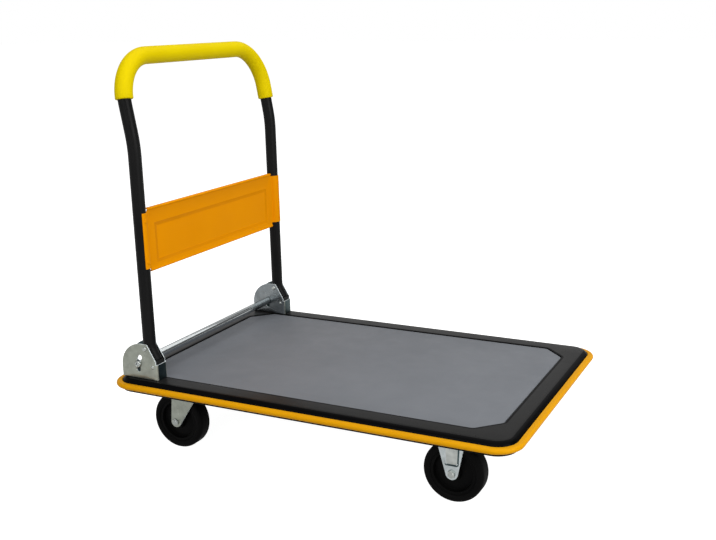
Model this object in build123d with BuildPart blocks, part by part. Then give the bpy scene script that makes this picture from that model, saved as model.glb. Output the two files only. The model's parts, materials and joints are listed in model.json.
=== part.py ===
from build123d import *
from math import cos, pi, radians, sin, sqrt, tan
import os

os.makedirs("parts", exist_ok=True)

# Frame: +X is the front, the handle stands at the -X end, +Y is the left side, z = 0 is the floor
sides = {"left": 1, "right": -1}

# Platform over the bumper
platform_length = 900.0
platform_width = 600.0
platform_corner = 53.0

# D-section bumper
bumper_depth = 12.0
bumper_height = 11.0
bumper_mid = 147.4
bumper_round = 5.3

# Pressed deck pan with a shallow recess for the mat
deck_top = 161.0
skirt_bottom = 134.2
shoulder_radius = 15.0
deck_sheet = 1.8
lip_width = 14.0
recess_length = 803.0
recess_width = 480.5
recess_x = -7.4
recess_chamfer = 45.0
recess_round = 14.0
recess_depth = 3.5
recess_edge_round = 1.2
mat_thickness = 2.2
mat_gap = 1.5
mat_edge_round = 0.6

# Stiffeners and castor channels under the deck
rib_y = 95.0
rib_half_crown = 14.0
rib_half_foot = 18.0
rib_half_width = 28.0
rib_depth = 14.0
rib_sheet = 1.5
channel_sheet = 4.0
channel_width = 130.0
channel_length = 520.0
channel_depth = 12.0
channel_bend = 6.0
rib_channel_gap = 1.0

# Castors: swivelling at the rear, rigid at the front
wheel_radius = 61.0
wheel_width = 36.0
track_half = 216.7
front_axle_x = 306.8
rear_axle_x = -321.5
king_pin_x = -290.0
castor_plate = (105.0, 80.0)
castor_plate_corner = 8.0
castor_plate_sheet = 3.0
castor_bolt_pitch = (80.0, 56.0)
castor_bolt_radius = 4.0
castor_hole_radius = 4.2
castor_head_flats = 13.0
castor_head_height = 5.3
fork_gap = 40.0
fork_sheet = 3.0
fork_bend = 6.0
fork_boss_radius = 14.5
leg_panel_rise = 1.6
leg_panel_low = (13.5, 79.0)
leg_panel_high = (26.0, 138.0)
swivel_crown_length = 76.0
swivel_crown_top = 131.5
rigid_crown_length = 70.0

# Axle bolts
axle_radius = 5.0
axle_flats = 16.0
axle_head_height = 6.4
axle_nut_height = 8.0
axle_tail = 3.0

# Swivel bearing
race_radius = 30.0
ball_radius = 3.0
ball_clearance = 0.3
ball_pitch_radius = 22.0
ball_count = 14
ball_plane = 141.0
race_half_gap = 0.5
king_radius = 6.0
king_clearance = 0.05
king_head_radius = 10.0
king_head_height = 2.0
king_nut_height = 4.8
king_nut_gap = 0.2

# Wheel sections
hub_rim_radius = 46.0
hub_boss_radius = 15.0
hub_half_length = 19.6
hub_web_half = 7.0
hub_web_step = 2.0
hub_rim_depth = 6.0
bush_radius = 8.0
bush_half_length = 19.85
bush_clearance = 0.05
tyre_shoulder = 7.0
tyre_bead_step = 2.5

# Handle tube
handle_half = 255.5
tube_radius = 13.35
tube_wall = 1.5
pivot_x = -364.0
pivot_z = 228.0
leg_x = -362.3
foot_angle = 30.0
foot_bend = 45.0
foot_length = 42.0
foot_end_radius = 34.0
lean_z = 650.0
lean_angle = 9.5
lean_bend = 300.0
top_bar_z = 821.3
top_bend = 92.0

# Grip sleeve over the top bar; its two ends stop at different heights
grip_radius = 18.0
grip_gap = 0.02
grip_end_left = 702.0
grip_end_right = 742.0
grip_round = 2.0

# Panel between the legs
panel_front = -357.5
panel_sheet = 1.5
panel_half = 238.0
panel_bottom = 387.5
panel_top = 520.0
panel_flange = 10.0
panel_bend = 4.0
emboss_half = 217.0
emboss_bottom = 406.5
emboss_top = 483.0
emboss_depth = 1.8
emboss_corner = 6.0
emboss_slope = 45.0
tab_bottom = 398.0
tab_top = 513.5
tab_gap = 0.1
tab_wrap = 32.0
tab_overlap = 2.0
rivet_heights = (411.0, 497.0)
rivet_radius = 2.4
rivet_head_radius = 4.2
rivet_head_height = 1.0
rivet_head_round = 0.7
rivet_length = 4.0

# Hinge brackets
bracket_sheet = 2.2
bracket_gap = 27.6
bracket_base = 2.5
bracket_rear = -425.0
bracket_front = -334.5
bracket_top = 238.0
bracket_arc = (-374.0, 187.0)
bracket_nose_round = 4.0
bracket_bend = 2.0
front_wall = 2.5
front_wall_top = 195.5
bracket_bolt_x = (-409.5, -365.5)
bracket_bolt_radius = 4.0
bracket_hole_radius = 4.1
bracket_head_radius = 6.5
bracket_head_height = 4.2
bracket_head_round = 2.5
bracket_bolt_tail = 147.0
bracket_nut_flats = 13.0
bracket_nut_height = 6.5

# Hinge pins, bushes and the rubber buffers below the tube feet
pin_radius = 4.0
pin_head_radius = 5.2
pin_head_height = 2.4
pin_head_round = 1.2
hinge_bush_radius = 5.5
hinge_bush_clearance = 0.05
hinge_bush_half = 13.5
buffer_radius = 34.5
buffer_angles = (-42.0, -80.0)
buffer_bottom = 178.0
buffer_half_width = 13.4
buffer_front_gap = 0.2
buffer_rivet = (-346.5, 190.0)
buffer_rivet_radius = 2.5
buffer_rivet_head_radius = 3.8
buffer_rivet_head_height = 1.2

# Release rod: a bar between the brackets, turned down at its ends for the vertical slots, which go on above it
rod_x = -383.0
rod_z = 193.4
rod_radius = 5.0
rod_half = 273.8
bar_radius = 9.0
bar_gap = 1.0
bar_round = 1.0
rod_travel = 12.0
slot_top = 214.0
slot_clearance = 0.1
cap_radius = 7.5
cap_start = 271.8
cap_end = 276.0
cap_round = 2.4

# Guides and return springs under the rod
guide_radius = 2.5
guide_collar_radius = 5.5
guide_collar_height = 1.6
guide_collar_gap = 0.1
guide_length = 9.0
guide_depth = 5.0
spring_wire_radius = 0.6
spring_radius = 4.3
spring_turns = 6
spring_end_gap = 0.15

# Values that follow from the ones above
deck_length = platform_length - 2 * bumper_depth
deck_width = platform_width - 2 * bumper_depth
deck_corner = platform_corner - bumper_depth
recess_floor = deck_top - recess_depth
floor_underside = recess_floor - deck_sheet
plate_top = floor_underside - channel_sheet
plate_bottom = plate_top - castor_plate_sheet
fork_half = fork_gap / 2 + fork_sheet
bracket_half = bracket_gap / 2 + bracket_sheet
bar_half = handle_half - bracket_half - bar_gap
base_top = deck_top + bracket_base
rim_underside = deck_top - deck_sheet
bracket_bolts_at = [(x, s * handle_half) for s in sides.values() for x in bracket_bolt_x]
rivets_at = [(s * handle_half, z) for s in sides.values() for z in rivet_heights]
top_bar_x = leg_x - (top_bar_z - lean_z) * tan(radians(lean_angle))


def keep(piece, label):
    piece.label = label
    export_step(piece, f"parts/{label}.step")


def side_plane(y):
    # Faces -Y: local x runs along X and local y along Z
    return Plane((0, y, 0), x_dir=(1, 0, 0), z_dir=(0, -1, 0))


def front_plane(x):
    # Faces +X: local x runs along Y and local y along Z
    return Plane((x, 0, 0), x_dir=(0, 1, 0), z_dir=(1, 0, 0))


def rear_plane(x):
    # Faces -X: local x runs along -Y and local y along Z
    return Plane((x, 0, 0), x_dir=(0, -1, 0), z_dir=(-1, 0, 0))


def axle_plane(x, y, z):
    # Half section round a line along Y: local x runs along Y and local y is the radius
    return Plane((x, y, z), x_dir=(0, 1, 0), z_dir=(1, 0, 0))


def upright_plane(x, y):
    # Half section round a vertical line: local x is the radius and local y runs along Z
    return Plane((x, y, 0), x_dir=(1, 0, 0), z_dir=(0, -1, 0))


def castor_bolts_at(x):
    dx, dy = castor_bolt_pitch[0] / 2, castor_bolt_pitch[1] / 2
    return [
        (x + i * dx, s * track_half + j * dy)
        for s in sides.values()
        for i in (-1, 1)
        for j in (-1, 1)
    ]


# Deck pan: rounded shell, pressed floor, in-turned lip
with BuildSketch(Plane.XY.offset(deck_top)) as recess_outline:
    with Locations((recess_x, 0)):
        Rectangle(recess_length, recess_width)
    chamfer(recess_outline.vertices(), length=recess_chamfer)
    fillet(recess_outline.vertices(), radius=recess_round)

with BuildPart() as deck_pan:
    with BuildSketch(Plane.XY.offset(skirt_bottom)):
        RectangleRounded(deck_length, deck_width, deck_corner)
    extrude(amount=deck_top - skirt_bottom)
    fillet(deck_pan.faces().sort_by(Axis.Z)[-1].edges(), radius=shoulder_radius)
    offset(amount=-deck_sheet, openings=deck_pan.faces().sort_by(Axis.Z)[0])
    with BuildSketch(Plane.XY.offset(rim_underside)):
        add(recess_outline.sketch_local)
        offset(amount=deck_sheet)
    extrude(amount=-recess_depth)
    with BuildSketch(Plane.XY.offset(deck_top)):
        add(recess_outline.sketch_local)
    extrude(amount=-recess_depth, mode=Mode.SUBTRACT)
    recess_rim = deck_pan.faces().filter_by(Axis.Z).sort_by(Axis.Z)[-1].inner_wires()[0]
    fillet(recess_rim.edges(), radius=recess_edge_round)
    with BuildSketch(Plane.XY.offset(skirt_bottom)):
        RectangleRounded(deck_length - deck_sheet, deck_width - deck_sheet, deck_corner - deck_sheet / 2)
        RectangleRounded(
            deck_length - 2 * lip_width,
            deck_width - 2 * lip_width,
            deck_corner - lip_width,
            mode=Mode.SUBTRACT,
        )
    extrude(amount=deck_sheet)
    with Locations(*[(x, y, deck_top) for x, y in bracket_bolts_at]):
        Hole(radius=bracket_hole_radius)
keep(deck_pan.part, "deck_pan")

with BuildPart() as deck_mat:
    with BuildSketch(Plane.XY.offset(recess_floor)):
        add(recess_outline.sketch_local)
        offset(amount=-mat_gap)
    extrude(amount=mat_thickness)
    fillet(deck_mat.faces().sort_by(Axis.Z)[-1].edges(), radius=mat_edge_round)
keep(deck_mat.part, "deck_mat")

# Bumper: ring round the skirt with a half-round outer side
with BuildPart() as bumper:
    with BuildSketch(Plane.XY.offset(bumper_mid - bumper_height / 2)):
        RectangleRounded(platform_length, platform_width, platform_corner)
        RectangleRounded(deck_length, deck_width, deck_corner, mode=Mode.SUBTRACT)
    extrude(amount=bumper_height)
    flat_faces = bumper.faces().filter_by(Axis.Z)
    fillet([edge for face in flat_faces for edge in face.outer_wire().edges()], radius=bumper_round)
keep(bumper.part, "bumper")

# Castor channels across the deck, flanges turned down
for end, channel_x in {"front": front_axle_x, "rear": king_pin_x}.items():
    with BuildPart() as channel:
        with BuildSketch(side_plane(channel_length / 2)):
            with BuildLine():
                half = (channel_width - channel_sheet) / 2
                middle = floor_underside - channel_sheet / 2
                FilletPolyline(
                    (channel_x - half, floor_underside - channel_depth),
                    (channel_x - half, middle),
                    (channel_x + half, middle),
                    (channel_x + half, floor_underside - channel_depth),
                    radius=channel_bend,
                )
            trace(line_width=channel_sheet)
        extrude(amount=channel_length)
        with Locations(*[(x, y, floor_underside) for x, y in castor_bolts_at(channel_x)]):
            Hole(radius=castor_bolt_radius)
    keep(channel.part, f"castor_channel_{end}")

# Hat-section ribs between the channels
rib_start = king_pin_x + channel_width / 2 + rib_channel_gap
rib_end = front_axle_x - channel_width / 2 - rib_channel_gap
for tag, side in sides.items():
    with BuildPart() as rib:
        with BuildSketch(front_plane(rib_start)):
            with BuildLine():
                foot_line = floor_underside - rib_sheet / 2
                crown_line = floor_underside - rib_depth + rib_sheet / 2
                Polyline(
                    (side * rib_y - rib_half_width, foot_line),
                    (side * rib_y - rib_half_foot, foot_line),
                    (side * rib_y - rib_half_crown, crown_line),
                    (side * rib_y + rib_half_crown, crown_line),
                    (side * rib_y + rib_half_foot, foot_line),
                    (side * rib_y + rib_half_width, foot_line),
                )
            trace(line_width=rib_sheet)
        extrude(amount=rib_end - rib_start)
    keep(rib.part, f"deck_rib_{tag}")

# Hinge brackets: two D-shaped cheeks joined by a base and a front wall
nose_x = bracket_front - (bracket_top - front_wall_top) * tan(radians(foot_angle))
slot_bottom = rod_z - rod_travel - rod_radius - slot_clearance
for tag, side in sides.items():
    middle = side * handle_half
    with BuildPart() as bracket:
        with BuildSketch(side_plane(middle + bracket_half)):
            with BuildLine():
                Polyline(
                    (bracket_rear, bracket_arc[1]),
                    (bracket_rear, deck_top),
                    (bracket_front, deck_top),
                    (bracket_front, front_wall_top),
                    (nose_x, bracket_top),
                    (bracket_arc[0], bracket_top),
                )
                CenterArc(bracket_arc, bracket_top - bracket_arc[1], 90, 90)
            cheek = make_face()
            fillet(cheek.vertices().sort_by_distance((nose_x, bracket_top))[0], radius=bracket_nose_round)
        extrude(amount=2 * bracket_half)
        with BuildSketch(side_plane(middle + bracket_gap / 2)):
            inside_front = bracket_front - front_wall
            Polygon(
                (bracket_rear - 1, base_top),
                (inside_front, base_top),
                (inside_front, front_wall_top),
                (bracket_front + 1, front_wall_top),
                (bracket_front + 1, bracket_top + 1),
                (bracket_rear - 1, bracket_top + 1),
                align=None,
            )
        extrude(amount=bracket_gap, mode=Mode.SUBTRACT)
        fillet(bracket.edges().filter_by(Axis.Z).group_by(Axis.X)[-1], radius=bracket_bend)
        with BuildSketch(side_plane(middle + bracket_half)):
            with Locations((rod_x, (slot_top + slot_bottom) / 2)):
                SlotOverall(slot_top - slot_bottom, 2 * (rod_radius + slot_clearance), rotation=90)
            with Locations((pivot_x, pivot_z)):
                Circle(pin_radius)
            with Locations(buffer_rivet):
                Circle(buffer_rivet_radius)
        extrude(amount=2 * bracket_half, mode=Mode.SUBTRACT)
        with Locations(*[(x, middle, base_top) for x in bracket_bolt_x]):
            Hole(radius=bracket_hole_radius)
    keep(bracket.part, f"hinge_bracket_{tag}")

    # Hinge pin with a head outside each cheek
    with BuildPart() as hinge_pin:
        with BuildSketch(axle_plane(pivot_x, middle, pivot_z)):
            Polygon(
                (-bracket_half - pin_head_height, 0),
                (-bracket_half - pin_head_height, pin_head_radius),
                (-bracket_half, pin_head_radius),
                (-bracket_half, pin_radius),
                (bracket_half, pin_radius),
                (bracket_half, pin_head_radius),
                (bracket_half + pin_head_height, pin_head_radius),
                (bracket_half + pin_head_height, 0),
                align=None,
            )
        revolve(axis=Axis((pivot_x, middle, pivot_z), (0, 1, 0)))
        rims = hinge_pin.edges().filter_by(GeomType.CIRCLE).sort_by(Axis.Y)
        fillet([rims[0], rims[-1]], radius=pin_head_round)
    keep(hinge_pin.part, f"hinge_pin_{tag}")

    # Rubber buffer that fills the space below the tube foot
    with BuildPart() as foot_buffer:
        arc_ends = [
            (pivot_x + buffer_radius * cos(radians(a)), pivot_z + buffer_radius * sin(radians(a)))
            for a in buffer_angles
        ]
        front_face = bracket_front - front_wall - buffer_front_gap
        with BuildSketch(side_plane(middle + buffer_half_width)):
            with BuildLine():
                Polyline(
                    arc_ends[1],
                    (arc_ends[1][0], buffer_bottom),
                    (front_face, buffer_bottom),
                    (front_face, arc_ends[0][1]),
                    arc_ends[0],
                )
                CenterArc(
                    (pivot_x, pivot_z),
                    buffer_radius,
                    buffer_angles[1],
                    buffer_angles[0] - buffer_angles[1],
                )
            make_face()
            with Locations(buffer_rivet):
                Circle(buffer_rivet_radius, mode=Mode.SUBTRACT)
        extrude(amount=2 * buffer_half_width)
    keep(foot_buffer.part, f"foot_buffer_{tag}")

# Rivets across both cheeks and the buffer
with BuildPart() as buffer_rivets:
    for side in sides.values():
        middle = side * handle_half
        with BuildSketch(side_plane(middle + bracket_half)):
            with Locations(buffer_rivet):
                Circle(buffer_rivet_radius)
        extrude(amount=2 * bracket_half)
        for face_y, out in ((middle + bracket_half, -1), (middle - bracket_half, 1)):
            with BuildSketch(side_plane(face_y)):
                with Locations(buffer_rivet):
                    Circle(buffer_rivet_head_radius)
            extrude(amount=out * buffer_rivet_head_height)
keep(buffer_rivets.part, "buffer_rivets")

# Bracket bolts with round heads on the base, nuts under the deck rim
with BuildPart() as bracket_bolts:
    with Locations(*[(x, y, base_top) for x, y in bracket_bolts_at]):
        Cylinder(
            bracket_head_radius, bracket_head_height, align=(Align.CENTER, Align.CENTER, Align.MIN)
        )
        Cylinder(
            bracket_bolt_radius,
            base_top - bracket_bolt_tail,
            align=(Align.CENTER, Align.CENTER, Align.MAX),
        )
    fillet(
        bracket_bolts.edges().filter_by(GeomType.CIRCLE).group_by(Axis.Z)[-1], radius=bracket_head_round
    )
keep(bracket_bolts.part, "bracket_bolts")

with BuildPart() as bracket_nuts:
    with BuildSketch(Plane.XY.offset(rim_underside)):
        with Locations(*bracket_bolts_at):
            RegularPolygon(bracket_nut_flats / 2, 6, major_radius=False)
            Circle(bracket_bolt_radius, mode=Mode.SUBTRACT)
    extrude(amount=-bracket_nut_height)
keep(bracket_nuts.part, "bracket_nuts")

# Castor bolts, heads below the plates
with BuildPart() as castor_bolts:
    for plate_x in (front_axle_x, king_pin_x):
        with BuildSketch(Plane.XY.offset(plate_bottom)):
            with Locations(*castor_bolts_at(plate_x)):
                RegularPolygon(castor_head_flats / 2, 6, major_radius=False)
        extrude(amount=-castor_head_height)
        with BuildSketch(Plane.XY.offset(plate_bottom)):
            with Locations(*castor_bolts_at(plate_x)):
                Circle(castor_bolt_radius)
        extrude(amount=floor_underside - plate_bottom)
keep(castor_bolts.part, "castor_bolts")


def castor_top_plate(x, y):
    # Top plate with rounded corners and four bolt holes
    with BuildPart() as plate:
        with BuildSketch(Plane.XY.offset(plate_bottom)):
            with Locations((x, y)):
                RectangleRounded(*castor_plate, castor_plate_corner)
                with GridLocations(*castor_bolt_pitch, 2, 2):
                    Circle(castor_hole_radius, mode=Mode.SUBTRACT)
        extrude(amount=castor_plate_sheet)
    return plate.part


def fork_yoke(y, axle_x, crown_x, crown_length, crown_top):
    # Folded fork: a U section cut to the outline of its legs
    boss_bottom = wheel_radius - fork_boss_radius
    leg_height = crown_top - boss_bottom
    low = (Align.CENTER, Align.MIN)
    with BuildPart() as fork:
        with BuildSketch(front_plane(crown_x)) as outside:
            with Locations((y, boss_bottom)):
                Rectangle(2 * fork_half, leg_height, align=low)
            fillet(outside.vertices().group_by(Axis.Y)[-1], radius=fork_bend)
        extrude(amount=crown_length, both=True)
        with BuildSketch(front_plane(crown_x)) as inside:
            with Locations((y, boss_bottom)):
                Rectangle(fork_gap, leg_height - fork_sheet, align=low)
            fillet(inside.vertices().group_by(Axis.Y)[-1], radius=fork_bend - fork_sheet)
        extrude(amount=crown_length, both=True, mode=Mode.SUBTRACT)
        with BuildSketch(side_plane(y)):
            with Locations((axle_x, wheel_radius)):
                Circle(fork_boss_radius)
            with Locations((crown_x, crown_top)):
                Rectangle(crown_length, 2 * fork_sheet, align=(Align.CENTER, Align.MAX))
            make_hull()
        extrude(amount=2 * fork_half, both=True, mode=Mode.INTERSECT)
        with BuildSketch(side_plane(y)):
            with Locations((axle_x, wheel_radius)):
                Circle(axle_radius)
        extrude(amount=2 * fork_half, both=True, mode=Mode.SUBTRACT)
    return fork.part


def axle_bolt(x, y, side):
    # Bolt through both legs: head on the inner side, tail past the nut on the outer side
    inner_face = y - side * fork_half
    outer_end = y + side * (fork_half + axle_nut_height + axle_tail)
    with BuildPart() as bolt:
        with BuildSketch(side_plane(inner_face)):
            with Locations((x, wheel_radius)):
                RegularPolygon(axle_flats / 2, 6, major_radius=False)
        extrude(amount=side * axle_head_height)
        with BuildSketch(side_plane(inner_face)):
            with Locations((x, wheel_radius)):
                Circle(axle_radius)
        extrude(amount=inner_face - outer_end)
    return bolt.part


def axle_nut(x, y, side):
    with BuildPart() as nut:
        with BuildSketch(side_plane(y + side * fork_half)):
            with Locations((x, wheel_radius)):
                RegularPolygon(axle_flats / 2, 6, major_radius=False)
                Circle(axle_radius, mode=Mode.SUBTRACT)
        extrude(amount=-side * axle_nut_height)
    return nut.part


def turned(section_plane, axis, points):
    # Closed half section turned into a solid
    with BuildPart() as body:
        with BuildSketch(section_plane):
            Polygon(*points, align=None)
        revolve(axis=axis)
    return body.part


for tag, side in sides.items():
    y = side * track_half

    # Rigid front castor: plate and fork welded together, raised panels on the legs
    plate = castor_top_plate(front_axle_x, y)
    yoke = fork_yoke(y, front_axle_x, front_axle_x, rigid_crown_length, plate_bottom)
    with BuildPart() as rigid_fork:
        add(plate)
        add(yoke)
        for face_y, out in ((y + fork_half, -1), (y - fork_half, 1)):
            with BuildSketch(side_plane(face_y)):
                Polygon(
                    (front_axle_x - leg_panel_low[0], leg_panel_low[1]),
                    (front_axle_x + leg_panel_low[0], leg_panel_low[1]),
                    (front_axle_x + leg_panel_high[0], leg_panel_high[1]),
                    (front_axle_x - leg_panel_high[0], leg_panel_high[1]),
                    align=None,
                )
            extrude(amount=out * leg_panel_rise)
    keep(rigid_fork.part, f"rigid_fork_{tag}")
    keep(axle_bolt(front_axle_x, y, side), f"front_axle_{tag}")

    # Swivel plate with its upper ball race
    king_line = Axis((king_pin_x, y, 0), (0, 0, 1))
    king_plane = upright_plane(king_pin_x, y)
    groove_radius = ball_radius + ball_clearance
    plate = castor_top_plate(king_pin_x, y)
    with BuildPart() as swivel_plate:
        add(plate)
        with BuildSketch(Plane.XY.offset(plate_bottom)):
            with Locations((king_pin_x, y)):
                Circle(race_radius)
        extrude(amount=ball_plane + race_half_gap - plate_bottom)
        with BuildSketch(king_plane):
            with Locations((ball_pitch_radius, ball_plane)):
                Circle(groove_radius)
        revolve(axis=king_line, mode=Mode.SUBTRACT)
        with Locations((king_pin_x, y, plate_top)):
            CounterBoreHole(king_radius, king_head_radius, king_head_height)
    keep(swivel_plate.part, f"swivel_plate_{tag}")

    # King pin: flush head above, riveted nut below the fork crown
    king_foot = swivel_crown_top - fork_sheet - king_nut_gap
    king_pin = turned(
        king_plane,
        king_line,
        [
            (0, plate_top),
            (king_head_radius, plate_top),
            (king_head_radius, plate_top - king_head_height),
            (king_radius, plate_top - king_head_height),
            (king_radius, king_foot),
            (king_head_radius, king_foot),
            (king_head_radius, king_foot - king_nut_height),
            (0, king_foot - king_nut_height),
        ],
    )
    keep(king_pin, f"king_pin_{tag}")

    # Swivel fork with the lower race on its crown
    yoke = fork_yoke(y, rear_axle_x, king_pin_x, swivel_crown_length, swivel_crown_top)
    with BuildPart() as swivel_fork:
        add(yoke)
        with BuildSketch(Plane.XY.offset(swivel_crown_top - fork_sheet)):
            with Locations((king_pin_x, y)):
                Circle(race_radius)
        extrude(amount=ball_plane - race_half_gap - swivel_crown_top + fork_sheet)
        with BuildSketch(king_plane):
            with Locations((ball_pitch_radius, ball_plane)):
                Circle(groove_radius)
        revolve(axis=king_line, mode=Mode.SUBTRACT)
        with Locations((king_pin_x, y, ball_plane)):
            Hole(radius=king_radius + king_clearance)
    keep(swivel_fork.part, f"swivel_fork_{tag}")

    with BuildPart() as swivel_balls:
        with Locations((king_pin_x, y, ball_plane)):
            with PolarLocations(ball_pitch_radius, ball_count):
                Sphere(ball_radius)
    keep(swivel_balls.part, f"swivel_balls_{tag}")
    keep(axle_bolt(rear_axle_x, y, side), f"rear_axle_{tag}")
    keep(axle_nut(rear_axle_x, y, side), f"rear_axle_nut_{tag}")

    # Wheels: tyre on a stepped plastic hub with a bush for the axle
    for end, wheel_x in {"front": front_axle_x, "rear": rear_axle_x}.items():
        section = axle_plane(wheel_x, y, wheel_radius)
        axle_line = Axis((wheel_x, y, wheel_radius), (0, 1, 0))
        with BuildPart() as tyre:
            with BuildSketch(section) as tyre_section:
                half = wheel_width / 2
                Polygon(
                    (-half + tyre_bead_step, hub_rim_radius),
                    (-half, hub_rim_radius + tyre_bead_step),
                    (-half, wheel_radius),
                    (half, wheel_radius),
                    (half, hub_rim_radius + tyre_bead_step),
                    (half - tyre_bead_step, hub_rim_radius),
                    align=None,
                )
                fillet(tyre_section.vertices().group_by(Axis.Y)[-1], radius=tyre_shoulder)
            revolve(axis=axle_line)
        keep(tyre.part, f"tyre_{end}_{tag}")

        outer_profile = [
            (hub_half_length, bush_radius),
            (hub_half_length, hub_boss_radius),
            (hub_web_half + hub_web_step, hub_boss_radius + hub_web_step),
            (hub_web_half, hub_rim_radius - hub_rim_depth - hub_web_step),
            (wheel_width / 2 - tyre_bead_step, hub_rim_radius - hub_rim_depth),
            (wheel_width / 2 - tyre_bead_step, hub_rim_radius),
        ]
        mirrored = [(-a, r) for a, r in reversed(outer_profile)]
        keep(turned(section, axle_line, outer_profile + mirrored), f"wheel_hub_{end}_{tag}")

        bush_bore = axle_radius + bush_clearance
        bush = turned(
            section,
            axle_line,
            [
                (-bush_half_length, bush_bore),
                (-bush_half_length, bush_radius),
                (bush_half_length, bush_radius),
                (bush_half_length, bush_bore),
            ],
        )
        keep(bush, f"wheel_bush_{end}_{tag}")

left_nut = axle_nut(front_axle_x, track_half, 1)
right_nut = axle_nut(front_axle_x, -track_half, -1)
with BuildPart() as front_axle_nuts:
    add(left_nut)
    add(right_nut)
keep(front_axle_nuts.part, "front_axle_nuts")

# Handle tube: one bend line from the left foot over the top bar to the right foot
foot_dx = sin(radians(foot_angle))
foot_dz = -cos(radians(foot_angle))
foot_kink_z = pivot_z + (leg_x - pivot_x) / foot_dx * foot_dz
leg_line = [
    (leg_x + foot_length * foot_dx, foot_kink_z + foot_length * foot_dz),
    (leg_x, foot_kink_z),
    (leg_x, lean_z),
    (top_bar_x, top_bar_z),
]
bend_line = [(x, handle_half, z) for x, z in leg_line]
bend_line += [(x, -handle_half, z) for x, z in reversed(leg_line)]

with BuildPart() as handle_tube:
    with BuildLine() as tube_line:
        FilletPolyline(*bend_line, radius=[foot_bend, lean_bend, top_bend, top_bend, lean_bend, foot_bend])
    with BuildSketch(Plane(tube_line.wire() @ 0, z_dir=tube_line.wire() % 0)):
        Circle(tube_radius)
        Circle(tube_radius - tube_wall, mode=Mode.SUBTRACT)
    sweep(path=tube_line.wire())
    # Feet rounded about the hinge line, then the bush and rivet holes
    reach = handle_half + 2 * tube_radius
    with BuildSketch(side_plane(reach)):
        with Locations((pivot_x, pivot_z - tube_radius)):
            Rectangle(4 * foot_length, 2 * foot_length, align=(Align.CENTER, Align.MAX))
        with Locations((pivot_x, pivot_z)):
            Circle(foot_end_radius, mode=Mode.SUBTRACT)
    extrude(amount=2 * reach, mode=Mode.SUBTRACT)
    with BuildSketch(side_plane(reach)):
        with Locations((pivot_x, pivot_z)):
            Circle(hinge_bush_radius)
    extrude(amount=2 * reach, mode=Mode.SUBTRACT)
    with BuildSketch(front_plane(leg_x)):
        with Locations(*rivets_at):
            Circle(rivet_radius)
    extrude(amount=2 * tube_radius, mode=Mode.SUBTRACT)
keep(handle_tube.part, "handle_tube")

# Grip sleeve on the same bend line, its right end cut square higher up than its left end
lean_run = tan(radians(lean_angle))
grip_start = (leg_x - (grip_end_left - lean_z) * lean_run, handle_half, grip_end_left)
grip_line = [grip_start, (top_bar_x, handle_half, top_bar_z)]
grip_line += [(x, -y, z) for x, y, z in reversed(grip_line)]
cut_x = leg_x - (grip_end_right - lean_z) * lean_run
with BuildPart() as handle_grip:
    with BuildLine() as sleeve_line:
        FilletPolyline(*grip_line, radius=top_bend)
    with BuildSketch(Plane(sleeve_line.wire() @ 0, z_dir=sleeve_line.wire() % 0)):
        Circle(grip_radius)
        Circle(tube_radius + grip_gap, mode=Mode.SUBTRACT)
    sweep(path=sleeve_line.wire())
    cut_plane = Plane((cut_x, -handle_half, grip_end_right), z_dir=(-lean_run, 0, 1))
    with BuildSketch(cut_plane):
        Rectangle(4 * grip_radius, 4 * grip_radius)
    extrude(amount=-2 * (grip_end_right - grip_end_left), mode=Mode.SUBTRACT)
    end_faces = handle_grip.faces().filter_by(GeomType.PLANE)
    fillet([face.outer_wire().edges()[0] for face in end_faces], radius=grip_round)
keep(handle_grip.part, "handle_grip")

# Bushes across the tube feet
for tag, side in sides.items():
    bush_bore = pin_radius + hinge_bush_clearance
    hinge_bush = turned(
        axle_plane(pivot_x, side * handle_half, pivot_z),
        Axis((pivot_x, side * handle_half, pivot_z), (0, 1, 0)),
        [
            (-hinge_bush_half, bush_bore),
            (-hinge_bush_half, hinge_bush_radius),
            (hinge_bush_half, hinge_bush_radius),
            (hinge_bush_half, bush_bore),
        ],
    )
    keep(hinge_bush, f"hinge_bush_{tag}")

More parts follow.
